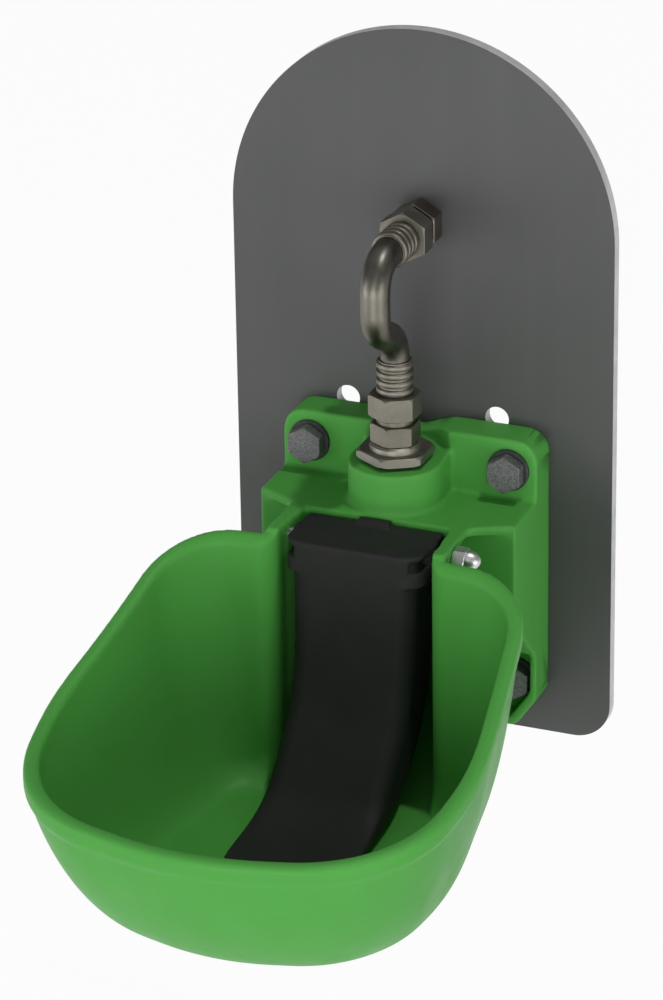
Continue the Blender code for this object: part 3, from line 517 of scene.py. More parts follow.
class Finish:
    """Material whose nodes are added step by step."""

    def __init__(self, name):
        self.mat = bpy.data.materials.new(name)
        self.mat.use_nodes = True
        self.tree = self.mat.node_tree
        self.shader = self.tree.nodes["Principled BSDF"]
        self.place = self.tree.nodes.new("ShaderNodeTexCoord").outputs["Object"]
        self.surface = None

    def link(self, out, socket):
        self.tree.links.new(out, socket)

    def fixed(self, **values):
        set_inputs(self.shader, {key.replace("_", " "): value for key, value in values.items()})

    def noise(self, scale, detail, rough=0.55, stretch=None):
        place = self.place
        if stretch:
            mapping = self.tree.nodes.new("ShaderNodeMapping")
            set_inputs(mapping, {"Scale": stretch})
            self.link(self.place, mapping.inputs["Vector"])
            place = mapping.outputs["Vector"]
        node = self.tree.nodes.new("ShaderNodeTexNoise")
        set_inputs(node, {"Scale": scale, "Detail": detail, "Roughness": rough})
        self.link(place, node.inputs["Vector"])
        return node.outputs["Fac"]

    def voronoi(self, scale):
        node = self.tree.nodes.new("ShaderNodeTexVoronoi")
        set_inputs(node, {"Scale": scale})
        self.link(self.place, node.inputs["Vector"])
        return node.outputs["Distance"]

    def ramp(self, value, stops):
        """Colours between two stops, each a place and a colour or a grey."""
        node = self.tree.nodes.new("ShaderNodeValToRGB")
        for mark, (where, colour) in zip(node.color_ramp.elements, stops):
            mark.position = where
            tint = colour if isinstance(colour, tuple) else (colour, colour, colour)
            mark.color = (*tint, 1.0)
        self.link(value, node.inputs["Fac"])
        return node.outputs["Color"]

    def facing_wall(self):
        """How squarely a face looks along Y, from 0 to 1."""
        place = self.tree.nodes.new("ShaderNodeTexCoord")
        parts = self.tree.nodes.new("ShaderNodeSeparateXYZ")
        size = self.tree.nodes.new("ShaderNodeMath")
        size.operation = "ABSOLUTE"
        self.link(place.outputs["Normal"], parts.inputs["Vector"])
        self.link(parts.outputs["Y"], size.inputs[0])
        return size.outputs[0]

    def spread(self, value, low, high, floor=0.3, ceiling=0.7):
        node = self.tree.nodes.new("ShaderNodeMapRange")
        set_inputs(node, {"From Min": floor, "From Max": ceiling, "To Min": low, "To Max": high})
        self.link(value, node.inputs["Value"])
        return node.outputs["Result"]

    def mix(self, share, first, second):
        node = self.tree.nodes.new("ShaderNodeMix")
        node.data_type = "RGBA"
        if isinstance(share, float):
            set_inputs(node, {"Factor": share})
        else:
            self.link(share, node.inputs["Factor"])
        self.link(first, node.inputs["A"])
        self.link(second, node.inputs["B"])
        return next(s for s in node.outputs if s.type == "RGBA")

    def colour(self, out):
        self.link(out, self.shader.inputs["Base Color"])

    def roughness(self, out):
        self.link(out, self.shader.inputs["Roughness"])

    def bump(self, height, strength, distance):
        node = self.tree.nodes.new("ShaderNodeBump")
        set_inputs(node, {"Strength": strength, "Distance": distance})
        self.link(height, node.inputs["Height"])
        if self.surface is not None:
            self.link(self.surface, node.inputs["Normal"])
        self.surface = node.outputs["Normal"]
        self.link(self.surface, self.shader.inputs["Normal"])


def green_enamel():
    f = Finish("green_enamel_coat")
    f.fixed(Metallic=0.0, Specular_IOR_Level=0.14)
    drift = f.ramp(f.noise(9, 3), [(0.30, (0.072, 0.322, 0.054)), (0.70, (0.082, 0.352, 0.062))])
    grain = f.noise(420, 3, 0.6)
    speck = f.ramp(grain, [(0.35, (0.030, 0.200, 0.028)), (0.65, (0.085, 0.400, 0.070))])
    f.colour(f.mix(0.05, drift, speck))
    f.roughness(f.spread(f.noise(38, 4), 0.38, 0.50))
    f.bump(f.noise(160, 2, 0.4), 0.06, 0.0006)
    f.bump(grain, 0.03, 0.0002)
    return f.mat


def plate_finish():
    f = Finish("plate_dark_steel")
    f.fixed(Metallic=0.4)
    drift = f.ramp(f.noise(6, 3), [(0.30, (0.070, 0.072, 0.071)), (0.70, (0.082, 0.084, 0.083))])
    streak = f.noise(60, 4, 0.6, (1, 1, 0.05))
    dark = f.mix(0.10, drift, f.ramp(streak, [(0.35, 0.050), (0.65, 0.098)]))
    bright = f.ramp(f.noise(90, 3, 0.6), [(0.30, 0.50), (0.70, 0.62)])
    f.colour(f.mix(f.spread(f.facing_wall(), 1.0, 0.0, 0.25, 0.55), dark, bright))
    f.roughness(f.spread(f.noise(30, 4, 0.6, (1, 1, 0.15)), 0.42, 0.50))
    f.bump(streak, 0.02, 0.0002)
    f.bump(f.noise(700, 2, 0.5), 0.02, 0.0001)
    return f.mat


def bolt_finish(name, dark, light, metal):
    f = Finish(name)
    f.fixed(Metallic=metal)
    blotch = f.noise(650, 3, 0.65)
    flake = f.voronoi(900)
    mottle = f.ramp(blotch, [(0.34, dark), (0.66, light)])
    f.colour(f.mix(0.35, mottle, f.ramp(flake, [(0.1, dark), (0.75, light)])))
    f.roughness(f.spread(blotch, 0.42, 0.62))
    f.bump(blotch, 0.25, 0.0003)
    return f.mat


def metal_finish(name, low, high, rough_low, rough_high):
    f = Finish(name)
    f.fixed(Metallic=1.0)
    drift = f.ramp(f.noise(45, 4, 0.6), [(0.30, low), (0.70, high)])
    shade = tuple(0.45 * v for v in low)
    grime = f.ramp(f.noise(270, 5, 0.7), [(0.40, shade), (0.62, high)])
    f.colour(f.mix(0.12, drift, grime))
    f.roughness(f.spread(f.noise(90, 4, 0.6), rough_low, rough_high))
    f.bump(f.noise(540, 3, 0.6), 0.05, 0.0002)
    return f.mat


def plastic_finish(name, low, high, rough_low, rough_high):
    f = Finish(name)
    f.fixed(Metallic=0.0, Specular_IOR_Level=0.18)
    f.colour(f.ramp(f.noise(25, 3), [(0.30, low), (0.70, high)]))
    f.roughness(f.spread(f.noise(60, 4), rough_low, rough_high))
    f.bump(f.noise(900, 2, 0.5), 0.10, 0.0002)
    return f.mat


# Finishes by kind: short name, material's name, darker and lighter colour, then how metallic
# a bolt's is, or how rough the others are at least and at most
BOLT_STEELS = (
    ("bolt", "mottled_bolt_steel", (0.055, 0.055, 0.057), (0.20, 0.20, 0.205), 0.55),
    ("washer", "dark_washer_steel", (0.030, 0.032, 0.033), (0.075, 0.077, 0.080), 0.6),
)
METALS = (
    ("fitting", "grey_brown_fitting", (0.185, 0.172, 0.143), (0.250, 0.233, 0.198), 0.44, 0.56),
    ("pipe", "pipe_metal", (0.130, 0.123, 0.102), (0.175, 0.166, 0.140), 0.34, 0.44),
    ("wall", "wall_fitting_dark", (0.175, 0.150, 0.125), (0.250, 0.218, 0.188), 0.28, 0.42),
    ("flange", "valve_flange_metal", (0.235, 0.220, 0.188), (0.300, 0.284, 0.246), 0.44, 0.56),
    ("stainless", "drawn_stainless", (0.42, 0.42, 0.41), (0.52, 0.52, 0.51), 0.22, 0.34),
    ("zinc", "bright_zinc_coat", (0.64, 0.65, 0.64), (0.780, 0.785, 0.780), 0.30, 0.45),
)
PLASTICS = (
    ("black", "tongue_black_plastic", (0.0165, 0.0172, 0.0163), (0.0205, 0.0212, 0.0202), 0.55, 0.68),
    ("rubber", "seal_black_rubber", (0.014, 0.014, 0.014), (0.024, 0.024, 0.024), 0.60, 0.80),
    ("seat", "valve_seat_plastic", (0.68, 0.67, 0.63), (0.78, 0.77, 0.73), 0.40, 0.55),
)


# Mounting plate

def plate_outline():
    half = PLATE_W / 2
    turns = [math.pi * k / ARCH_STEPS for k in range(ARCH_STEPS + 1)]
    arch = [(half * math.cos(a), ARC_Z + half * math.sin(a)) for a in turns]
    foot = -PLATE_H / 2
    corners = []
    for side in (-1, 1):
        middle = (side * (half - PLATE_CORNER), foot + PLATE_CORNER)
        start = 180 if side < 0 else 270
        for k in range(CORNER_STEPS + 1):
            a = math.radians(start + 90 * k / CORNER_STEPS)
            corners.append((middle[0] + PLATE_CORNER * math.cos(a),
                            middle[1] + PLATE_CORNER * math.sin(a)))
    return arch + corners


def bolt_places():
    rows = (("upper", CAST_TOP - BOLT_TOP_DROP, EAR_DEPTH),
            ("lower", CAST_TOP - BOLT_LOW_DROP, WEB_DEPTH))
    for row, z, depth in rows:
        for side, x in (("left", -BOLT_X), ("right", BOLT_X)):
            yield row + "_" + side, x, z, depth


def make_plate(mat):
    plate = as_object("mounting_plate_skin", plate_prism(plate_outline(), 0.0, FACE))
    for _, x, z, _ in bolt_places():
        carve(plate, cylinder(BOLT_R + RUN, -CUT_PAST, CUT_PAST, along_y(x, z)), CUT)
    for side in (-1, 1):
        spare = along_y(side * SPARE_TOP_X, CAST_TOP + SPARE_TOP_Z)
        carve(plate, cylinder(SPARE_HOLE_R, -CUT_PAST, CUT_PAST, spare), CUT)
    inlet = along_y(0, INLET_Z)
    carve(plate, cylinder(WALL_SPIGOT_R + RUN, -CUT_PAST, CUT_PAST, inlet), CUT)
    edge = plate.modifiers.new("edge", "BEVEL")
    edge.width = PLATE_EDGE
    edge.segments = 2
    edge.limit_method = "ANGLE"
    edge.angle_limit = math.radians(60)
    settle(plate)
    finish_piece(plate, mat, "bowl", ["mounting_plate"], angle=12)


# Bowl casting

def mirrored(half):
    left = [(-x, y) for x, y in reversed(half) if x > SMALL]
    return half + left


def cast_outline(inset=0.0):
    half = CAST_W / 2 - inset
    top = CAST_TOP - inset
    foot = CAST_TOP - CAST_H + inset
    notch = NOTCH_W / 2
    corners = [(0, top - NOTCH_DEEP), (notch, top), (half, top), (half, foot + CAST_CHAMFER_H),
               (half - CAST_CHAMFER, foot), (-half + CAST_CHAMFER, foot), (-half, foot + CAST_CHAMFER_H),
               (-half, top), (-notch, top)]
    turn = max(CAST_CORNER - inset, LEAST_TURN)
    low = CAST_CHAMFER_R
    return rounded(corners, [NOTCH_R, NOTCH_EDGE_R, turn, low, low, low, low, turn, NOTCH_EDGE_R])


def clip_below(outline, z):
    kept = []
    for x, height in outline:
        point = (x, min(height, z))
        if not kept or (Vector(point) - Vector(kept[-1])).length > SMALL:
            kept.append(point)
    if (Vector(kept[0]) - Vector(kept[-1])).length < SMALL:
        kept.pop()
    return kept


def rim_height(y):
    """The rim falls steeply from the shelf and levels out at the front."""
    t = min(max((FACE - BOWL_BACK - y) / (BOWL_FRONT - BOWL_BACK), 0.0), 1.0)
    return SHELF_Z - BOWL_FALL * (1 - (1 - t) ** BOWL_SWEEP)


def bowl_outline(inset):
    wide = BOWL_HALF_W - inset
    back = FACE - BOWL_BACK - inset
    front = FACE - BOWL_FRONT + inset
    length = BOWL_FRONT - BOWL_BACK
    corners = [(0, back), (wide * REAR_SHARE, back - REAR_BOW),
               (wide, back - WIDEST_SHARE * length + inset),
               (wide * FRONT_SHARE, front + FRONT_BOW), (0, front)]
    radii = [0, BOWL_REAR_R - inset, BOWL_SIDE_R, BOWL_FRONT_R - inset, BOWL_NOSE_R]
    return rounded([(-x, y) for x, y in reversed(corners[1:4])] + corners,
                   list(reversed(radii[1:4])) + radii, BOWL_STEP)


def even(outline, count):
    """Points at equal steps along a closed outline, starting at its back."""
    loop = [Vector(p) for p in outline]
    start = max(range(len(loop)), key=lambda i: (round(loop[i].y, 5), -abs(loop[i].x)))
    loop = loop[start:] + loop[:start]
    spans = [(loop[(i + 1) % len(loop)] - p).length for i, p in enumerate(loop)]
    total = sum(spans)
    points = []
    i = 0
    passed = 0.0
    for k in range(count):
        want = total * k / count
        while passed + spans[i] < want:
            passed += spans[i]
            i += 1
        points.append(tuple(loop[i].lerp(loop[(i + 1) % len(loop)], (want - passed) / spans[i])))
    return points


def bowl_ring(inset, narrow, height, foot=0.0):
    """One level of the bowl; narrow is 0 at the rim and 1 at the floor, foot moves its rear forward."""
    back = FACE - BOWL_BACK - inset
    wide = 1 - narrow * (1 - FLOOR_WIDTH)
    long = 1 - narrow * (1 - FLOOR_LENGTH) - foot / (BOWL_FRONT - BOWL_BACK)
    points = even(bowl_outline(inset), BOWL_POINTS)
    return [(x * wide, back - foot + (y - back) * long, height(y)) for x, y in points]


def foot_fillet(left):
    """How far the fillet at the foot of the rear wall reaches forward at one level."""
    up = left * (SHELF_Z - FLOOR_Z) / FOOT_FILLET
    return FOOT_FILLET * (1 - math.sqrt(1 - max(0.0, 1 - up) ** 2))


def wall_levels():
    levels = []
    for k in range(1, BOWL_LEVELS + 1):
        a = math.pi / 2 * k / BOWL_LEVELS
        left = (1 - math.sin(a)) if k < BOWL_LEVELS else 0.0
        levels.append((left, SIDE_TAPER * (1 - left) + (1 - SIDE_TAPER) * (1 - math.cos(a))))
    return levels


def bowl_shell():
    """The bowl as one closed skin: underside, outside, rim, inside, floor."""
    levels = wall_levels()
    under = RIM_H + RIM_CROWN

    def outer_height(share):
        return lambda y: UNDERSIDE + (rim_height(y) - under - UNDERSIDE) * share

    def rim_top(share):
        return lambda y: rim_height(y) - RIM_CROWN * (1 - share)

    def inner_height(share):
        return lambda y: FLOOR_Z + (rim_height(y) - RIM_INSIDE_H - FLOOR_Z) * share

    outside = [bowl_ring(RIM_OVERHANG, narrow, outer_height(left)) for left, narrow in reversed(levels)]
    outside.append(bowl_ring(RIM_OVERHANG, 0, lambda y: rim_height(y) - under))
    rim = [bowl_ring(0.0, 0, lambda y: rim_height(y) - RIM_H)]
    bead = RIM_W / 2
    for k in range(RIM_TURNS + 1):
        a = math.pi * k / RIM_TURNS
        rim.append(bowl_ring(bead - bead * math.cos(a), 0, rim_top(math.sin(a))))
    inside = [bowl_ring(RIM_W, narrow, inner_height(left), foot_fillet(left)) for left, narrow in levels]
    return loft(outside + rim + inside)


def well_half_width(y, grow):
    """Half the well's width at one depth, from its round back to its mouth."""
    if y >= BOSS_Y:
        return math.sqrt(max((WELL_R + grow) ** 2 - (y - BOSS_Y) ** 2, LEAST_HALF_W ** 2))
    marks = [(BOSS_Y, WELL_R), (FACE - WELL_WAIST_OUT, WELL_WAIST), (MOUTH_Y + WELL_STRAIGHT, WELL_MOUTH)]
    for (y_near, w_near), (y_far, w_far) in zip(marks, marks[1:]):
        if y >= y_far:
            return grow + w_near + (w_far - w_near) * (y_near - y) / (y_near - y_far)
    return WELL_MOUTH + grow


def well_solid(grow, floor, top, end):
    """The well as cross-sections, from its round back to its mouth; its floor rises to the back."""
    radius = WELL_R + grow
    back = BOSS_Y + radius
    stations = [BOSS_Y + radius * math.cos(math.pi / 2 * k / WELL_STEPS) for k in range(WELL_STEPS + 1)]
    stations += [FACE - WELL_WAIST_OUT, MOUTH_Y + WELL_STRAIGHT]
    stations += [BOSS_Y + (end - BOSS_Y) * k / WELL_STEPS for k in range(1, WELL_STEPS + 1)]
    rings = []
    for y in sorted(set(stations), reverse=True):
        w = well_half_width(y, grow)
        low = floor + WELL_RISE * max(0.0, 1 - (back - y) / (back - MOUTH_Y)) ** 2
        rings.append([(-w, y, low), (w, y, low), (w, y, top), (-w, y, top)])
    return loft(rings)


def well_outer():
    return well_solid(WELL_WALL, UNDERSIDE, SHELF_Z - SHELF_T / 2, MOUTH_Y - WELL_LAP)


def flared_edge(reach):
    """Right edge of the well's mouth; reach is how far it goes through the rear wall."""
    turns = [math.pi / 2 * k / HORN_STEPS for k in range(HORN_STEPS + 1)]
    return [(WELL_MOUTH + HORN_FLARE * (1 - math.cos(a)), MOUTH_Y - reach * math.sin(a)) for a in turns]


def well_mouth():
    """Opening of the well through the bowl's rear wall, with flared sides."""
    start = [(WELL_MOUTH, MOUTH_Y + MOUTH_START)]
    low = [(x, y, FLOOR_Z + GAP) for x, y in mirrored(start + flared_edge(HORN_REACH_FOOT))]
    plan = mirrored(start + flared_edge(HORN_REACH_TOP))
    heights = (FLOOR_Z + FOOT_FILLET, SHELF_Z - SHELF_T * 2, SHELF_Z - SHELF_T)
    return loft([low] + [[(x, y, z) for x, y in plan] for z in heights])


def cap_slot():
    back = FACE - SHELF_MID
    half = [(0, back), (WELL_MOUTH - SLOT_INSET, back), (WELL_MOUTH, MOUTH_Y + SLOT_STRAIGHT)]
    plan = mirrored(half + flared_edge(HORN_REACH_TOP))
    return floor_prism(plan, SHELF_Z - 2 * SHELF_T, SHELF_Z + CUT_PAST)


def shelf_solid(back):
    horn = WELL_MOUTH + HORN_T
    half = [(0, back), (CAST_W / 2 - LIP_T / 2, back), (CAST_W / 2 - LIP_T / 2, FACE - SHELF_SIDE),
            (horn + SHELF_STEP_W, FACE - SHELF_STEP), (horn, FACE - SHELF_STEP - SHELF_STEP_W),
            (horn, MOUTH_Y - SHELF_LAP)]
    return floor_prism(mirrored(half), SHELF_Z - SHELF_T, SHELF_Z)


def box_solid(side, near):
    foot = CAST_TOP - BOX_FOOT
    outline = [(near, SHELF_Z), (FACE - BOX_DEPTH, SHELF_Z), (FACE - BOX_DEPTH, CAST_TOP - BOX_DROP),
               (FACE - EAR_DEPTH, foot), (near, foot)]
    return side_prism(outline, side * BOX_INNER, side * CAST_W / 2)


def dish():
    """Room round the valve, between the ears and above the boss."""
    top = CAST_TOP + DISH_PAST
    return loft(placed([round_ring(BOSS_Z, DISH_LOW_R), round_ring(top, DISH_TOP_R)], at_boss()))


def boss_solid():
    """Boss with a round front whose flanks run back into the ears."""
    turns = [math.pi * k / BOSS_STEPS for k in range(BOSS_STEPS + 1)]
    arc = [(BOSS_R * math.cos(a), BOSS_Y - BOSS_R * math.sin(a)) for a in turns]
    back = FACE - EAR_DEPTH + BOSS_SINK
    outline = [(BOSS_BACK_W, back)] + arc + [(-BOSS_BACK_W, back)]
    return floor_prism(outline, SHELF_Z - SHELF_T, BOSS_Z)


def make_casting(mat):
    """The cast bowl, modelled sharp, then softened as a casting's edges are."""
    web = FACE - WEB_DEPTH / 2
    slab = plate_prism(cast_outline(), FACE + BACK_SPARE, FACE - EAR_DEPTH)
    cast = as_object("bowl_casting_skin", slab)
    pocket = clip_below(cast_outline(LIP_T), CAST_TOP - BOX_FOOT)
    carve(cast, plate_prism(pocket, FACE - WEB_DEPTH, FACE - EAR_DEPTH - POCKET_PAST), CUT)
    carve(cast, dish(), CUT)
    carve(cast, shelf_solid(web), JOIN)
    for side in (-1, 1):
        carve(cast, box_solid(side, web), JOIN)
    carve(cast, boss_solid(), JOIN)
    carve(cast, well_outer(), JOIN)
    lug_face = WELL_MOUTH + HORN_T
    for side in (-1, 1):
        ends = sorted((side * (WELL_MOUTH + WELL_WALL / 2), side * lug_face))
        carve(cast, cylinder(LUG_R, *ends, along_x(PIN_Y, PIN_Z)), JOIN)
    carve(cast, bowl_shell(), JOIN)
    carve(cast, well_solid(0.0, FLOOR_Z + GAP, SHELF_Z - SHELF_T, MOUTH_Y), CUT)
    carve(cast, well_mouth(), CUT)
    carve(cast, cap_slot(), CUT)
    carve(cast, cylinder(BOSS_BORE_R, SHELF_Z - CUT_PAST, BOSS_Z + BORE_PAST, at_boss()), CUT)
    soften(cast, CAST_VOXEL, CAST_ROUNDING, CAST_KEPT)
    cut_flat(cast, (0, FACE - GAP, 0), (0, 1, 0))
    finish_piece(cast, mat, "bowl", ["bowl_casting"], angle=0)


# Fasteners

def make_bolts(bolt_mat, washer_mat):
    for name, x, z, depth in bolt_places():
        seat = depth + GAP
        bolt_at = along_y(x, z)
        top = seat + WASHER_T
        outer = WASHER_R - WASHER_EDGE
        profile = [(BOLT_R + RUN, seat), (outer, seat), (WASHER_R, seat + WASHER_EDGE),
                   (WASHER_R, top - WASHER_EDGE), (outer, top), (BOLT_R + RUN, top)]
        rings = placed(turned_rings(profile), bolt_at)
        washer = as_object("washer_" + name + "_skin", loft(rings, closed=True))
        finish_piece(washer, washer_mat, "bowl", ["washer_" + name])
        under = top + GAP
        tip = GAP - PLATE_T
        shank = [round_ring(tip, BOLT_R - BOLT_TIP_EDGE), round_ring(tip + BOLT_TIP_EDGE, BOLT_R),
                 round_ring(under, BOLT_R)]
        head = hex_levels(under, under + BOLT_HEAD_H, BOLT_HEAD_AF, False)
        node = "bolt_" + name
        fitting(node + "_skin", shank + head, [], bolt_at, bolt_mat, [node])


# Valve, pipe and fittings

def make_valve_body(mat):
    base = BOSS_Z + BOSS_SEAL_T + 2 * GAP
    low = BOSS_Z - VALVE_LENGTH
    step = base + VALVE_FLANGE_T
    top = step + VALVE_DISC_T
    outside = [round_ring(low, BOSS_BORE_R - RUN), round_ring(base, BOSS_BORE_R - RUN)]
    outside += hex_levels(base, step, VALVE_FLANGE_AF)
    outside += [round_ring(step, VALVE_DISC_R),
                round_ring(top - VALVE_DISC_EDGE, VALVE_DISC_R - VALVE_DISC_DRAFT),
                round_ring(top, VALVE_DISC_R - VALVE_DISC_TURN)]
    bore = [round_ring(top, VALVE_BORE_R), round_ring(low + VALVE_FLOOR_T, VALVE_BORE_R),
            round_ring(low + VALVE_FLOOR_T, VALVE_PORT_R), round_ring(low, VALVE_PORT_R)]
    fitting("valve_body_skin", outside, bore, at_boss(), mat, ["valve_body"])
    return top


def make_seal(name, frame_at, low, thick, inner, outer, mat):
    high = low + thick
    fitting(name + "_skin", [round_ring(low, outer), round_ring(high, outer)],
            [round_ring(high, inner), round_ring(low, inner)], frame_at, mat, [name])


def make_adapter(name, frame_at, mat, spigot_r, spigot_l, hex_low):
    hex_high = hex_low + ADAPTER_L
    collar_top = hex_high + COLLAR_L
    tip = collar_top + NIPPLE_L
    outside = [round_ring(hex_low - spigot_l, spigot_r), round_ring(hex_low, spigot_r)]
    outside += hex_levels(hex_low, hex_high, ADAPTER_AF)
    outside += [round_ring(hex_high, COLLAR_R), round_ring(collar_top, COLLAR_R),
                round_ring(collar_top, NIPPLE_R), round_ring(tip, NIPPLE_R)]
    bore = [round_ring(tip, FITTING_BORE_R), round_ring(hex_low - spigot_l, FITTING_BORE_R)]
    fitting(name + "_skin", outside, bore, frame_at, mat, [name])
    return collar_top, tip


def make_union(prefix, frame_at, mat, collar_top, tip):
    """Union nut and ribbed sleeve round the end of the pipe."""
    flare_low = tip + 2 * GAP + SEAL_T
    low = collar_top + GAP
    high = low + NUT_L
    chamber = max(FLARE_R, NIPPLE_R) + NUT_PLAY
    ledge = flare_low + FLARE_T + GAP
    bore = [round_ring(high, PIPE_R + NUT_PLAY), round_ring(ledge, PIPE_R + NUT_PLAY),
            round_ring(ledge, chamber), round_ring(low, chamber)]
    fitting(prefix + "_union_nut_skin", hex_levels(low, high, NUT_AF), bore, frame_at, mat,
            [prefix + "_union_nut"])
    sleeve_low = high + GAP
    pitch = RIB_LENGTH / RIB_COUNT
    profile = [(PIPE_R + GAP, sleeve_low)]
    for k in range(RIB_COUNT):
        z = sleeve_low + pitch * k
        profile.append((RIB_ROOT_R, z))
        for j in range(RIB_STEPS + 1):
            a = math.pi * j / RIB_STEPS
            swell = (RIB_R - RIB_ROOT_R) * math.sin(a) ** RIB_FULLNESS
            along = RIB_LEAD + RIB_SPAN * (1 - math.cos(a))
            profile.append((RIB_ROOT_R + swell, z + pitch * along))
    profile += [(RIB_ROOT_R, sleeve_low + RIB_LENGTH), (PIPE_R + GAP, sleeve_low + RIB_LENGTH)]
    rings = placed(turned_rings(profile), frame_at)
    sleeve = as_object(prefix + "_ribbed_sleeve_skin", loft(rings, closed=True))
    finish_piece(sleeve, mat, "bowl", [prefix + "_ribbed_sleeve"], angle=60)
    return flare_low


def tube_ring(centre, direction, radius):
    across = Vector((direction.y, -direction.x))
    ring = []
    for k in range(TUBE_RING):
        a = 2 * math.pi * k / TUBE_RING
        offset = across * radius * math.cos(a)
        ring.append((radius * math.sin(a), centre.x + offset.x, centre.y + offset.y))
    return ring


def pipe_path(start_z, start_depth):
    """Middle line of the pipe in its plane, from the boss to the wall."""
    out = FACE - PIPE_OUT
    corners = [(BOSS_Y, start_z), (BOSS_Y, CAST_TOP + PIPE_KNEE_LOW), (out, CAST_TOP + PIPE_KNEE_HIGH),
               (out, INLET_Z), (FACE - start_depth, INLET_Z)]
    path = [Vector(corners[0])]
    for before, here, after in zip(corners, corners[1:], corners[2:]):
        middle = Vector(here)
        back = (Vector(before) - middle).normalized()
        ahead = (Vector(after) - middle).normalized()
        path += [Vector(p) for p in fillet(middle, back, ahead, PIPE_BEND_R, PIPE_STEP)]
    return path + [Vector(corners[-1])]


def make_pipe(mat, start_z, start_depth):
    """Swan-neck tube with a flare at each end."""
    path = pipe_path(start_z, start_depth)
    start = (path[1] - path[0]).normalized()
    end = (path[-2] - path[-1]).normalized()
    stations = [(path[0], start, FLARE_R), (path[0] + start * FLARE_T, start, FLARE_R),
                (path[0] + start * FLARE_T, start, PIPE_R)]
    for before, here, after in zip(path, path[1:], path[2:]):
        stations.append((here, (after - before).normalized(), PIPE_R))
    stations += [(path[-1] + end * FLARE_T, -end, PIPE_R), (path[-1] + end * FLARE_T, -end, FLARE_R),
                 (path[-1], -end, FLARE_R)]
    rings = [tube_ring(p, d, r) for p, d, r in stations]
    bore = PIPE_R - PIPE_WALL
    rings.append(tube_ring(path[-1], -end, bore))
    rings += [tube_ring(p, d, bore) for p, d, _ in reversed(stations[3:-3])]
    rings.append(tube_ring(path[0], start, bore))
    pipe = as_object("supply_pipe_skin", loft(rings, closed=True))
    finish_piece(pipe, mat, "bowl", ["supply_pipe"], angle=50)


# Tongue

def head_outline(back_depth, grow=0.0):
    half = HEAD_W / 2 + grow
    back = FACE - back_depth
    front = FACE - HEAD_FRONT - grow
    turn = HEAD_CORNER + grow
    return rounded([(half, back), (-half, back), (-half, front), (half, front)],
                   [HEAD_REAR_R, HEAD_REAR_R, turn, turn])


def smooth(points):
    """Points along a curve that passes through all the given ones."""
    ends = [points[0]] + points + [points[-1]]
    curve = []
    for a, b, c, d in zip(ends, ends[1:], ends[2:], ends[3:]):
        for k in range(PADDLE_PARTS):
            t = k / PADDLE_PARTS
            curve.append(tuple(0.5 * (2 * q + (r - p) * t + (2 * p - 5 * q + 4 * r - s) * t * t
                                      + (3 * q - p - 3 * r + s) * t ** 3)
                               for p, q, r, s in zip(a, b, c, d)))
    curve.append(points[-1])
    return curve


def paddle_solid(shrink, first=0, last=None):
    half = PADDLE_W / 2 - shrink
    turn = max(PADDLE_CORNER - shrink, LEAST_TURN)
    stations = list(zip(smooth(PADDLE_FRONT), smooth(PADDLE_REAR)))
    rings = []
    for (fy, fz), (ry, rz) in stations[first:last]:
        front = Vector((FACE - fy, SHELF_Z - fz))
        rear = Vector((FACE - ry, SHELF_Z - rz))
        inward = (rear - front).normalized()
        front = front + inward * shrink
        rear = rear + inward * shrink
        depth = (rear - front).length
        face = half - PADDLE_DRAFT * min(1.0, fz / PADDLE_DRAFT_DROP)
        flat = rounded([(face, 0), (-face, 0), (-half, depth), (half, depth)],
                       [turn, turn, LEAST_TURN, LEAST_TURN])
        rings.append([(x, *(front + inward * d)) for x, d in flat])
    return loft(rings)


def collar_solid(top):
    levels = ((top, 0.0), (top - COLLAR_H, COLLAR_DRAFT))
    return loft([[(x, y, z) for x, y in head_outline(COLLAR_BACK, grow)] for z, grow in levels])


def tab_solid(top):
    """Raised tab at the rear of the cap, wider at its foot."""
    back = FACE - HEAD_BACK
    foot = TAB_W / 2 + TAB_H * TAB_DRAW
    rings = []
    for half, grow, z in ((foot, TAB_H, top - CAP_T / 2), (TAB_W / 2, 0.0, top + TAB_H)):
        near = back - TAB_L - grow
        rings.append([(half, back, z), (-half, back, z), (-half, near, z), (half, near, z)])
    return loft(rings)


def arm_solid():
    """Arm that lifts the valve's stem."""
    half = ARM_W / 2
    root = FACE - COLLAR_BACK - ARM_LAP
    end = BOSS_Y + ARM_REACH
    top = SHELF_Z - ARM_DROP
    outline = rounded([(-half, root), (half, root), (half, end), (-half, end)],
                      [0, 0, ARM_CORNER, ARM_CORNER])
    return floor_prism(outline, top - ARM_T, top)


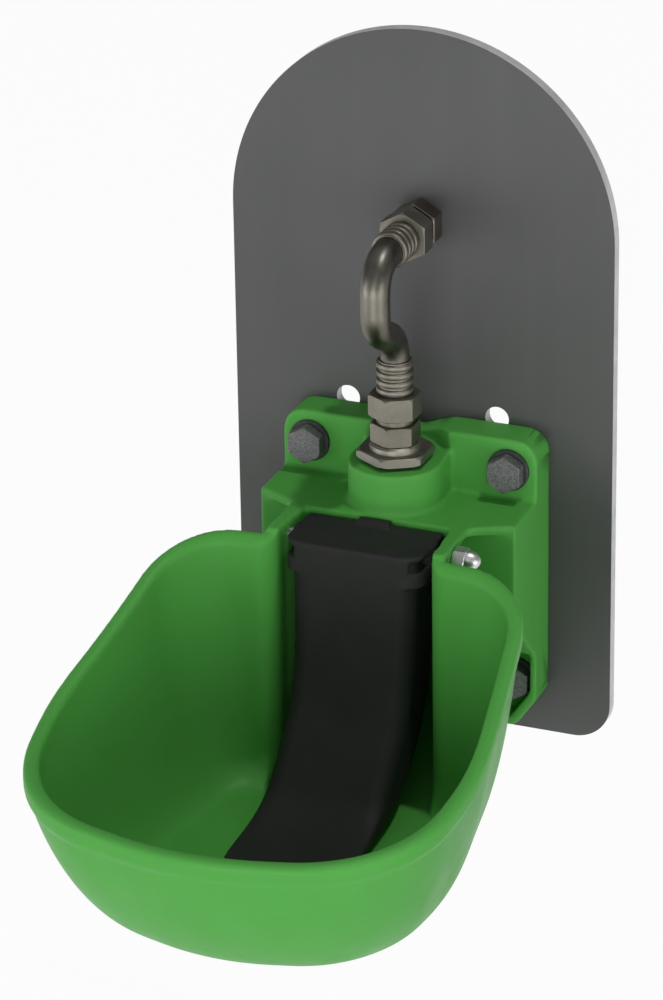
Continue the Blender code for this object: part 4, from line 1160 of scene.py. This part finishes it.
def make_tongue(mat):
    """The tongue in one piece, its edges softened as a moulding's are."""
    top = SHELF_Z - CAP_DROP
    tongue = as_object("tongue_skin", floor_prism(head_outline(HEAD_BACK), top - CAP_T, top))
    collar_top = top - CAP_T - GROOVE_H
    neck_z = (collar_top - HEAD_LAP, top - CAP_T + HEAD_LAP)
    half = GROOVE_FACE_W / 2
    front = FACE - HEAD_FRONT
    rear = front + GROOVE_FACE_T
    face = [(half, rear), (-half, rear), (-half, front), (half, front)]
    hubs = along_x(PIN_Y, PIN_Z)
    carve(tongue, floor_prism(head_outline(COLLAR_BACK, -GROOVE_DEEP), *neck_z), JOIN)
    carve(tongue, floor_prism(face, *neck_z), JOIN)
    carve(tongue, collar_solid(collar_top), JOIN)
    carve(tongue, paddle_solid(0.0), JOIN)
    carve(tongue, tab_solid(top), JOIN)
    carve(tongue, arm_solid(), JOIN)
    carve(tongue, cylinder(HUB_R, -HUB_REACH, HUB_REACH, hubs), JOIN)
    carve(tongue, paddle_solid(PADDLE_SKIN, *HOLLOW_STATIONS), CUT)
    soften(tongue, TONGUE_VOXEL, TONGUE_ROUNDING, TONGUE_KEPT)
    carve(tongue, cylinder(PIN_R + GAP, -HEAD_W, HEAD_W, hubs, BORE_RING), CUT)
    finish_piece(tongue, mat, "tongue", ["tongue"], angle=50)


def make_pin(pin_mat, nut_mat):
    lug_face = WELL_MOUTH + HORN_T
    frame_at = along_x(PIN_Y, PIN_Z)
    low = lug_face + GAP
    high = low + DOME_HEX_L
    tip = high + DOME_L * PIN_IN_DOME
    shank = [round_ring(LUG_WEB + GAP - lug_face, PIN_R), round_ring(tip, PIN_R)]
    fitting("hinge_pin_skin", shank, [], frame_at, pin_mat, ["hinge_pin"])
    outside = hex_levels(low, high, DOME_AF, False)
    dome_r = DOME_AF / 2 * DOME_SHARE
    for k in range(DOME_TURNS):
        a = math.pi / 2 * k / DOME_TURNS
        outside.append(round_ring(high + DOME_L * math.sin(a), dome_r * math.cos(a)))
    bore = [round_ring(low, PIN_R + GAP), round_ring(tip + GAP, PIN_R + GAP)]
    rings = list(reversed(outside)) + bore
    fitting("dome_nut_skin", rings, [], frame_at, nut_mat, ["dome_nut"])


# Stage, light and camera

def floor_material():
    """Plain floor that the camera and reflections see as nearly white."""
    mat = bpy.data.materials.new("pale_floor")
    mat.use_nodes = True
    tree = mat.node_tree
    tree.nodes.clear()
    rays = tree.nodes.new("ShaderNodeLightPath")
    either = tree.nodes.new("ShaderNodeMath")
    either.operation = "MAXIMUM"
    share = tree.nodes.new("ShaderNodeMath")
    share.operation = "MULTIPLY"
    share.inputs[1].default_value = FLOOR_WHITE
    pale = tree.nodes.new("ShaderNodeBsdfDiffuse")
    set_inputs(pale, {"Color": (*FLOOR_COLOUR, 1)})
    white = tree.nodes.new("ShaderNodeEmission")
    set_inputs(white, {"Color": (1, 1, 1, 1)})
    blend = tree.nodes.new("ShaderNodeMixShader")
    out = tree.nodes.new("ShaderNodeOutputMaterial")
    for source, socket in ((rays.outputs["Is Camera Ray"], either.inputs[0]),
                           (rays.outputs["Is Glossy Ray"], either.inputs[1]),
                           (either.outputs[0], share.inputs[0]),
                           (share.outputs[0], blend.inputs["Fac"]),
                           (pale.outputs[0], blend.inputs[1]),
                           (white.outputs[0], blend.inputs[2]),
                           (blend.outputs[0], out.inputs["Surface"])):
        tree.links.new(source, socket)
    return mat


def make_floor():
    bm = bmesh.new()
    bmesh.ops.create_grid(bm, x_segments=1, y_segments=1, size=FLOOR_HALF)
    floor = as_object("floor", bm)
    floor.location.z = FLOOR_LEVEL
    floor.data.materials.append(floor_material())


def make_world():
    """Dim room with a lighter ceiling, white where the camera looks past the part."""
    world = bpy.data.worlds.new("studio")
    world.use_nodes = True
    bpy.context.scene.world = world
    tree = world.node_tree
    ground = tree.nodes["Background"]
    set_inputs(ground, {"Color": (1, 1, 1, 1)})
    place = tree.nodes.new("ShaderNodeTexCoord")
    parts = tree.nodes.new("ShaderNodeSeparateXYZ")
    ceiling = tree.nodes.new("ShaderNodeMapRange")
    ceiling.interpolation_type = "SMOOTHSTEP"
    set_inputs(ceiling, {"From Min": CEILING_FROM, "From Max": CEILING_TO,
                         "To Min": ROOM_LIGHT, "To Max": ROOM_LIGHT + CEILING_LIGHT})
    rays = tree.nodes.new("ShaderNodeLightPath")
    level = tree.nodes.new("ShaderNodeMapRange")
    set_inputs(level, {"To Max": 1.0})
    tree.links.new(place.outputs["Generated"], parts.inputs["Vector"])
    tree.links.new(parts.outputs["Z"], ceiling.inputs["Value"])
    tree.links.new(rays.outputs["Is Camera Ray"], level.inputs["Value"])
    tree.links.new(ceiling.outputs["Result"], level.inputs["To Min"])
    tree.links.new(level.outputs["Result"], ground.inputs["Strength"])


def soft_light(name, place, aim, size, watts):
    lamp = bpy.data.lights.new(name, "AREA")
    lamp.shape = "DISK"
    lamp.size = size
    lamp.energy = watts
    obj = bpy.data.objects.new(name, lamp)
    bpy.context.scene.collection.objects.link(obj)
    obj.location = place
    obj.rotation_mode = "QUATERNION"
    obj.rotation_quaternion = (Vector(aim) - Vector(place)).to_track_quat("-Z", "Y")


def make_camera():
    data = bpy.data.cameras.new("camera")
    data.sensor_width = SENSOR_WIDTH
    data.sensor_fit = "AUTO"
    data.lens = CAMERA_LENS
    data.clip_end = CLIP_END
    camera = bpy.data.objects.new("camera", data)
    bpy.context.scene.collection.objects.link(camera)
    turn = Matrix((CAMERA_RIGHT, CAMERA_UP, CAMERA_BACK)).transposed().to_4x4()
    camera.matrix_world = Matrix.Translation(CAMERA_PLACE) @ turn
    bpy.context.scene.camera = camera


# Dressing

def make_finishes():
    """Every finish, by its short name."""
    looks = {"green": green_enamel(), "plate": plate_finish()}
    for kind, rows in ((bolt_finish, BOLT_STEELS), (metal_finish, METALS), (plastic_finish, PLASTICS)):
        for key, name, *values in rows:
            looks[key] = kind(name, *values)
    return looks


def make_fittings(looks):
    """Valve body, adapters, unions, seals and pipe; each stands on the one before it."""
    boss = at_boss()
    wall = along_y(0, INLET_Z)
    metal = looks["fitting"]
    rubber = looks["rubber"]
    valve_top = make_valve_body(looks["flange"])
    collar_top, tip = make_adapter("boss_adapter", boss, metal,
                                   VALVE_BORE_R - RUN, SPIGOT_L, valve_top + GAP)
    pipe_start = make_union("lower", boss, metal, collar_top, tip)
    make_seal("valve_seal", boss, BOSS_Z + GAP, BOSS_SEAL_T, BOSS_BORE_R, BOSS_SEAL_R, rubber)
    make_seal("lower_union_seal", boss, tip + GAP, SEAL_T, FITTING_BORE_R, NIPPLE_R, rubber)
    wall_top, wall_tip = make_adapter("wall_adapter", wall, looks["wall"],
                                      WALL_SPIGOT_R, PLATE_T, GAP)
    pipe_depth = make_union("upper", wall, metal, wall_top, wall_tip)
    make_seal("upper_union_seal", wall, wall_tip + GAP, SEAL_T, FITTING_BORE_R, NIPPLE_R, rubber)
    make_pipe(looks["pipe"], pipe_start, pipe_depth)


def dress_kept(looks):
    """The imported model's own pieces inside the valve are kept, and only take a finish."""
    kept = {"valve_disc": "rubber", "valve_seat": "seat", "valve_stem": "stainless",
            "valve_spring": "stainless"}
    for node, look in kept.items():
        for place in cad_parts[node].material_slots:
            place.material = looks[look]


def main():
    looks = make_finishes()
    make_plate(looks["plate"])
    make_casting(looks["green"])
    make_bolts(looks["bolt"], looks["washer"])
    make_fittings(looks)
    make_tongue(looks["black"])
    make_pin(looks["stainless"], looks["zinc"])
    dress_kept(looks)
    make_floor()
    make_world()
    for lamp in LAMPS:
        soft_light(*lamp)
    make_camera()
    bpy.context.scene.view_settings.view_transform = "Standard"


main()
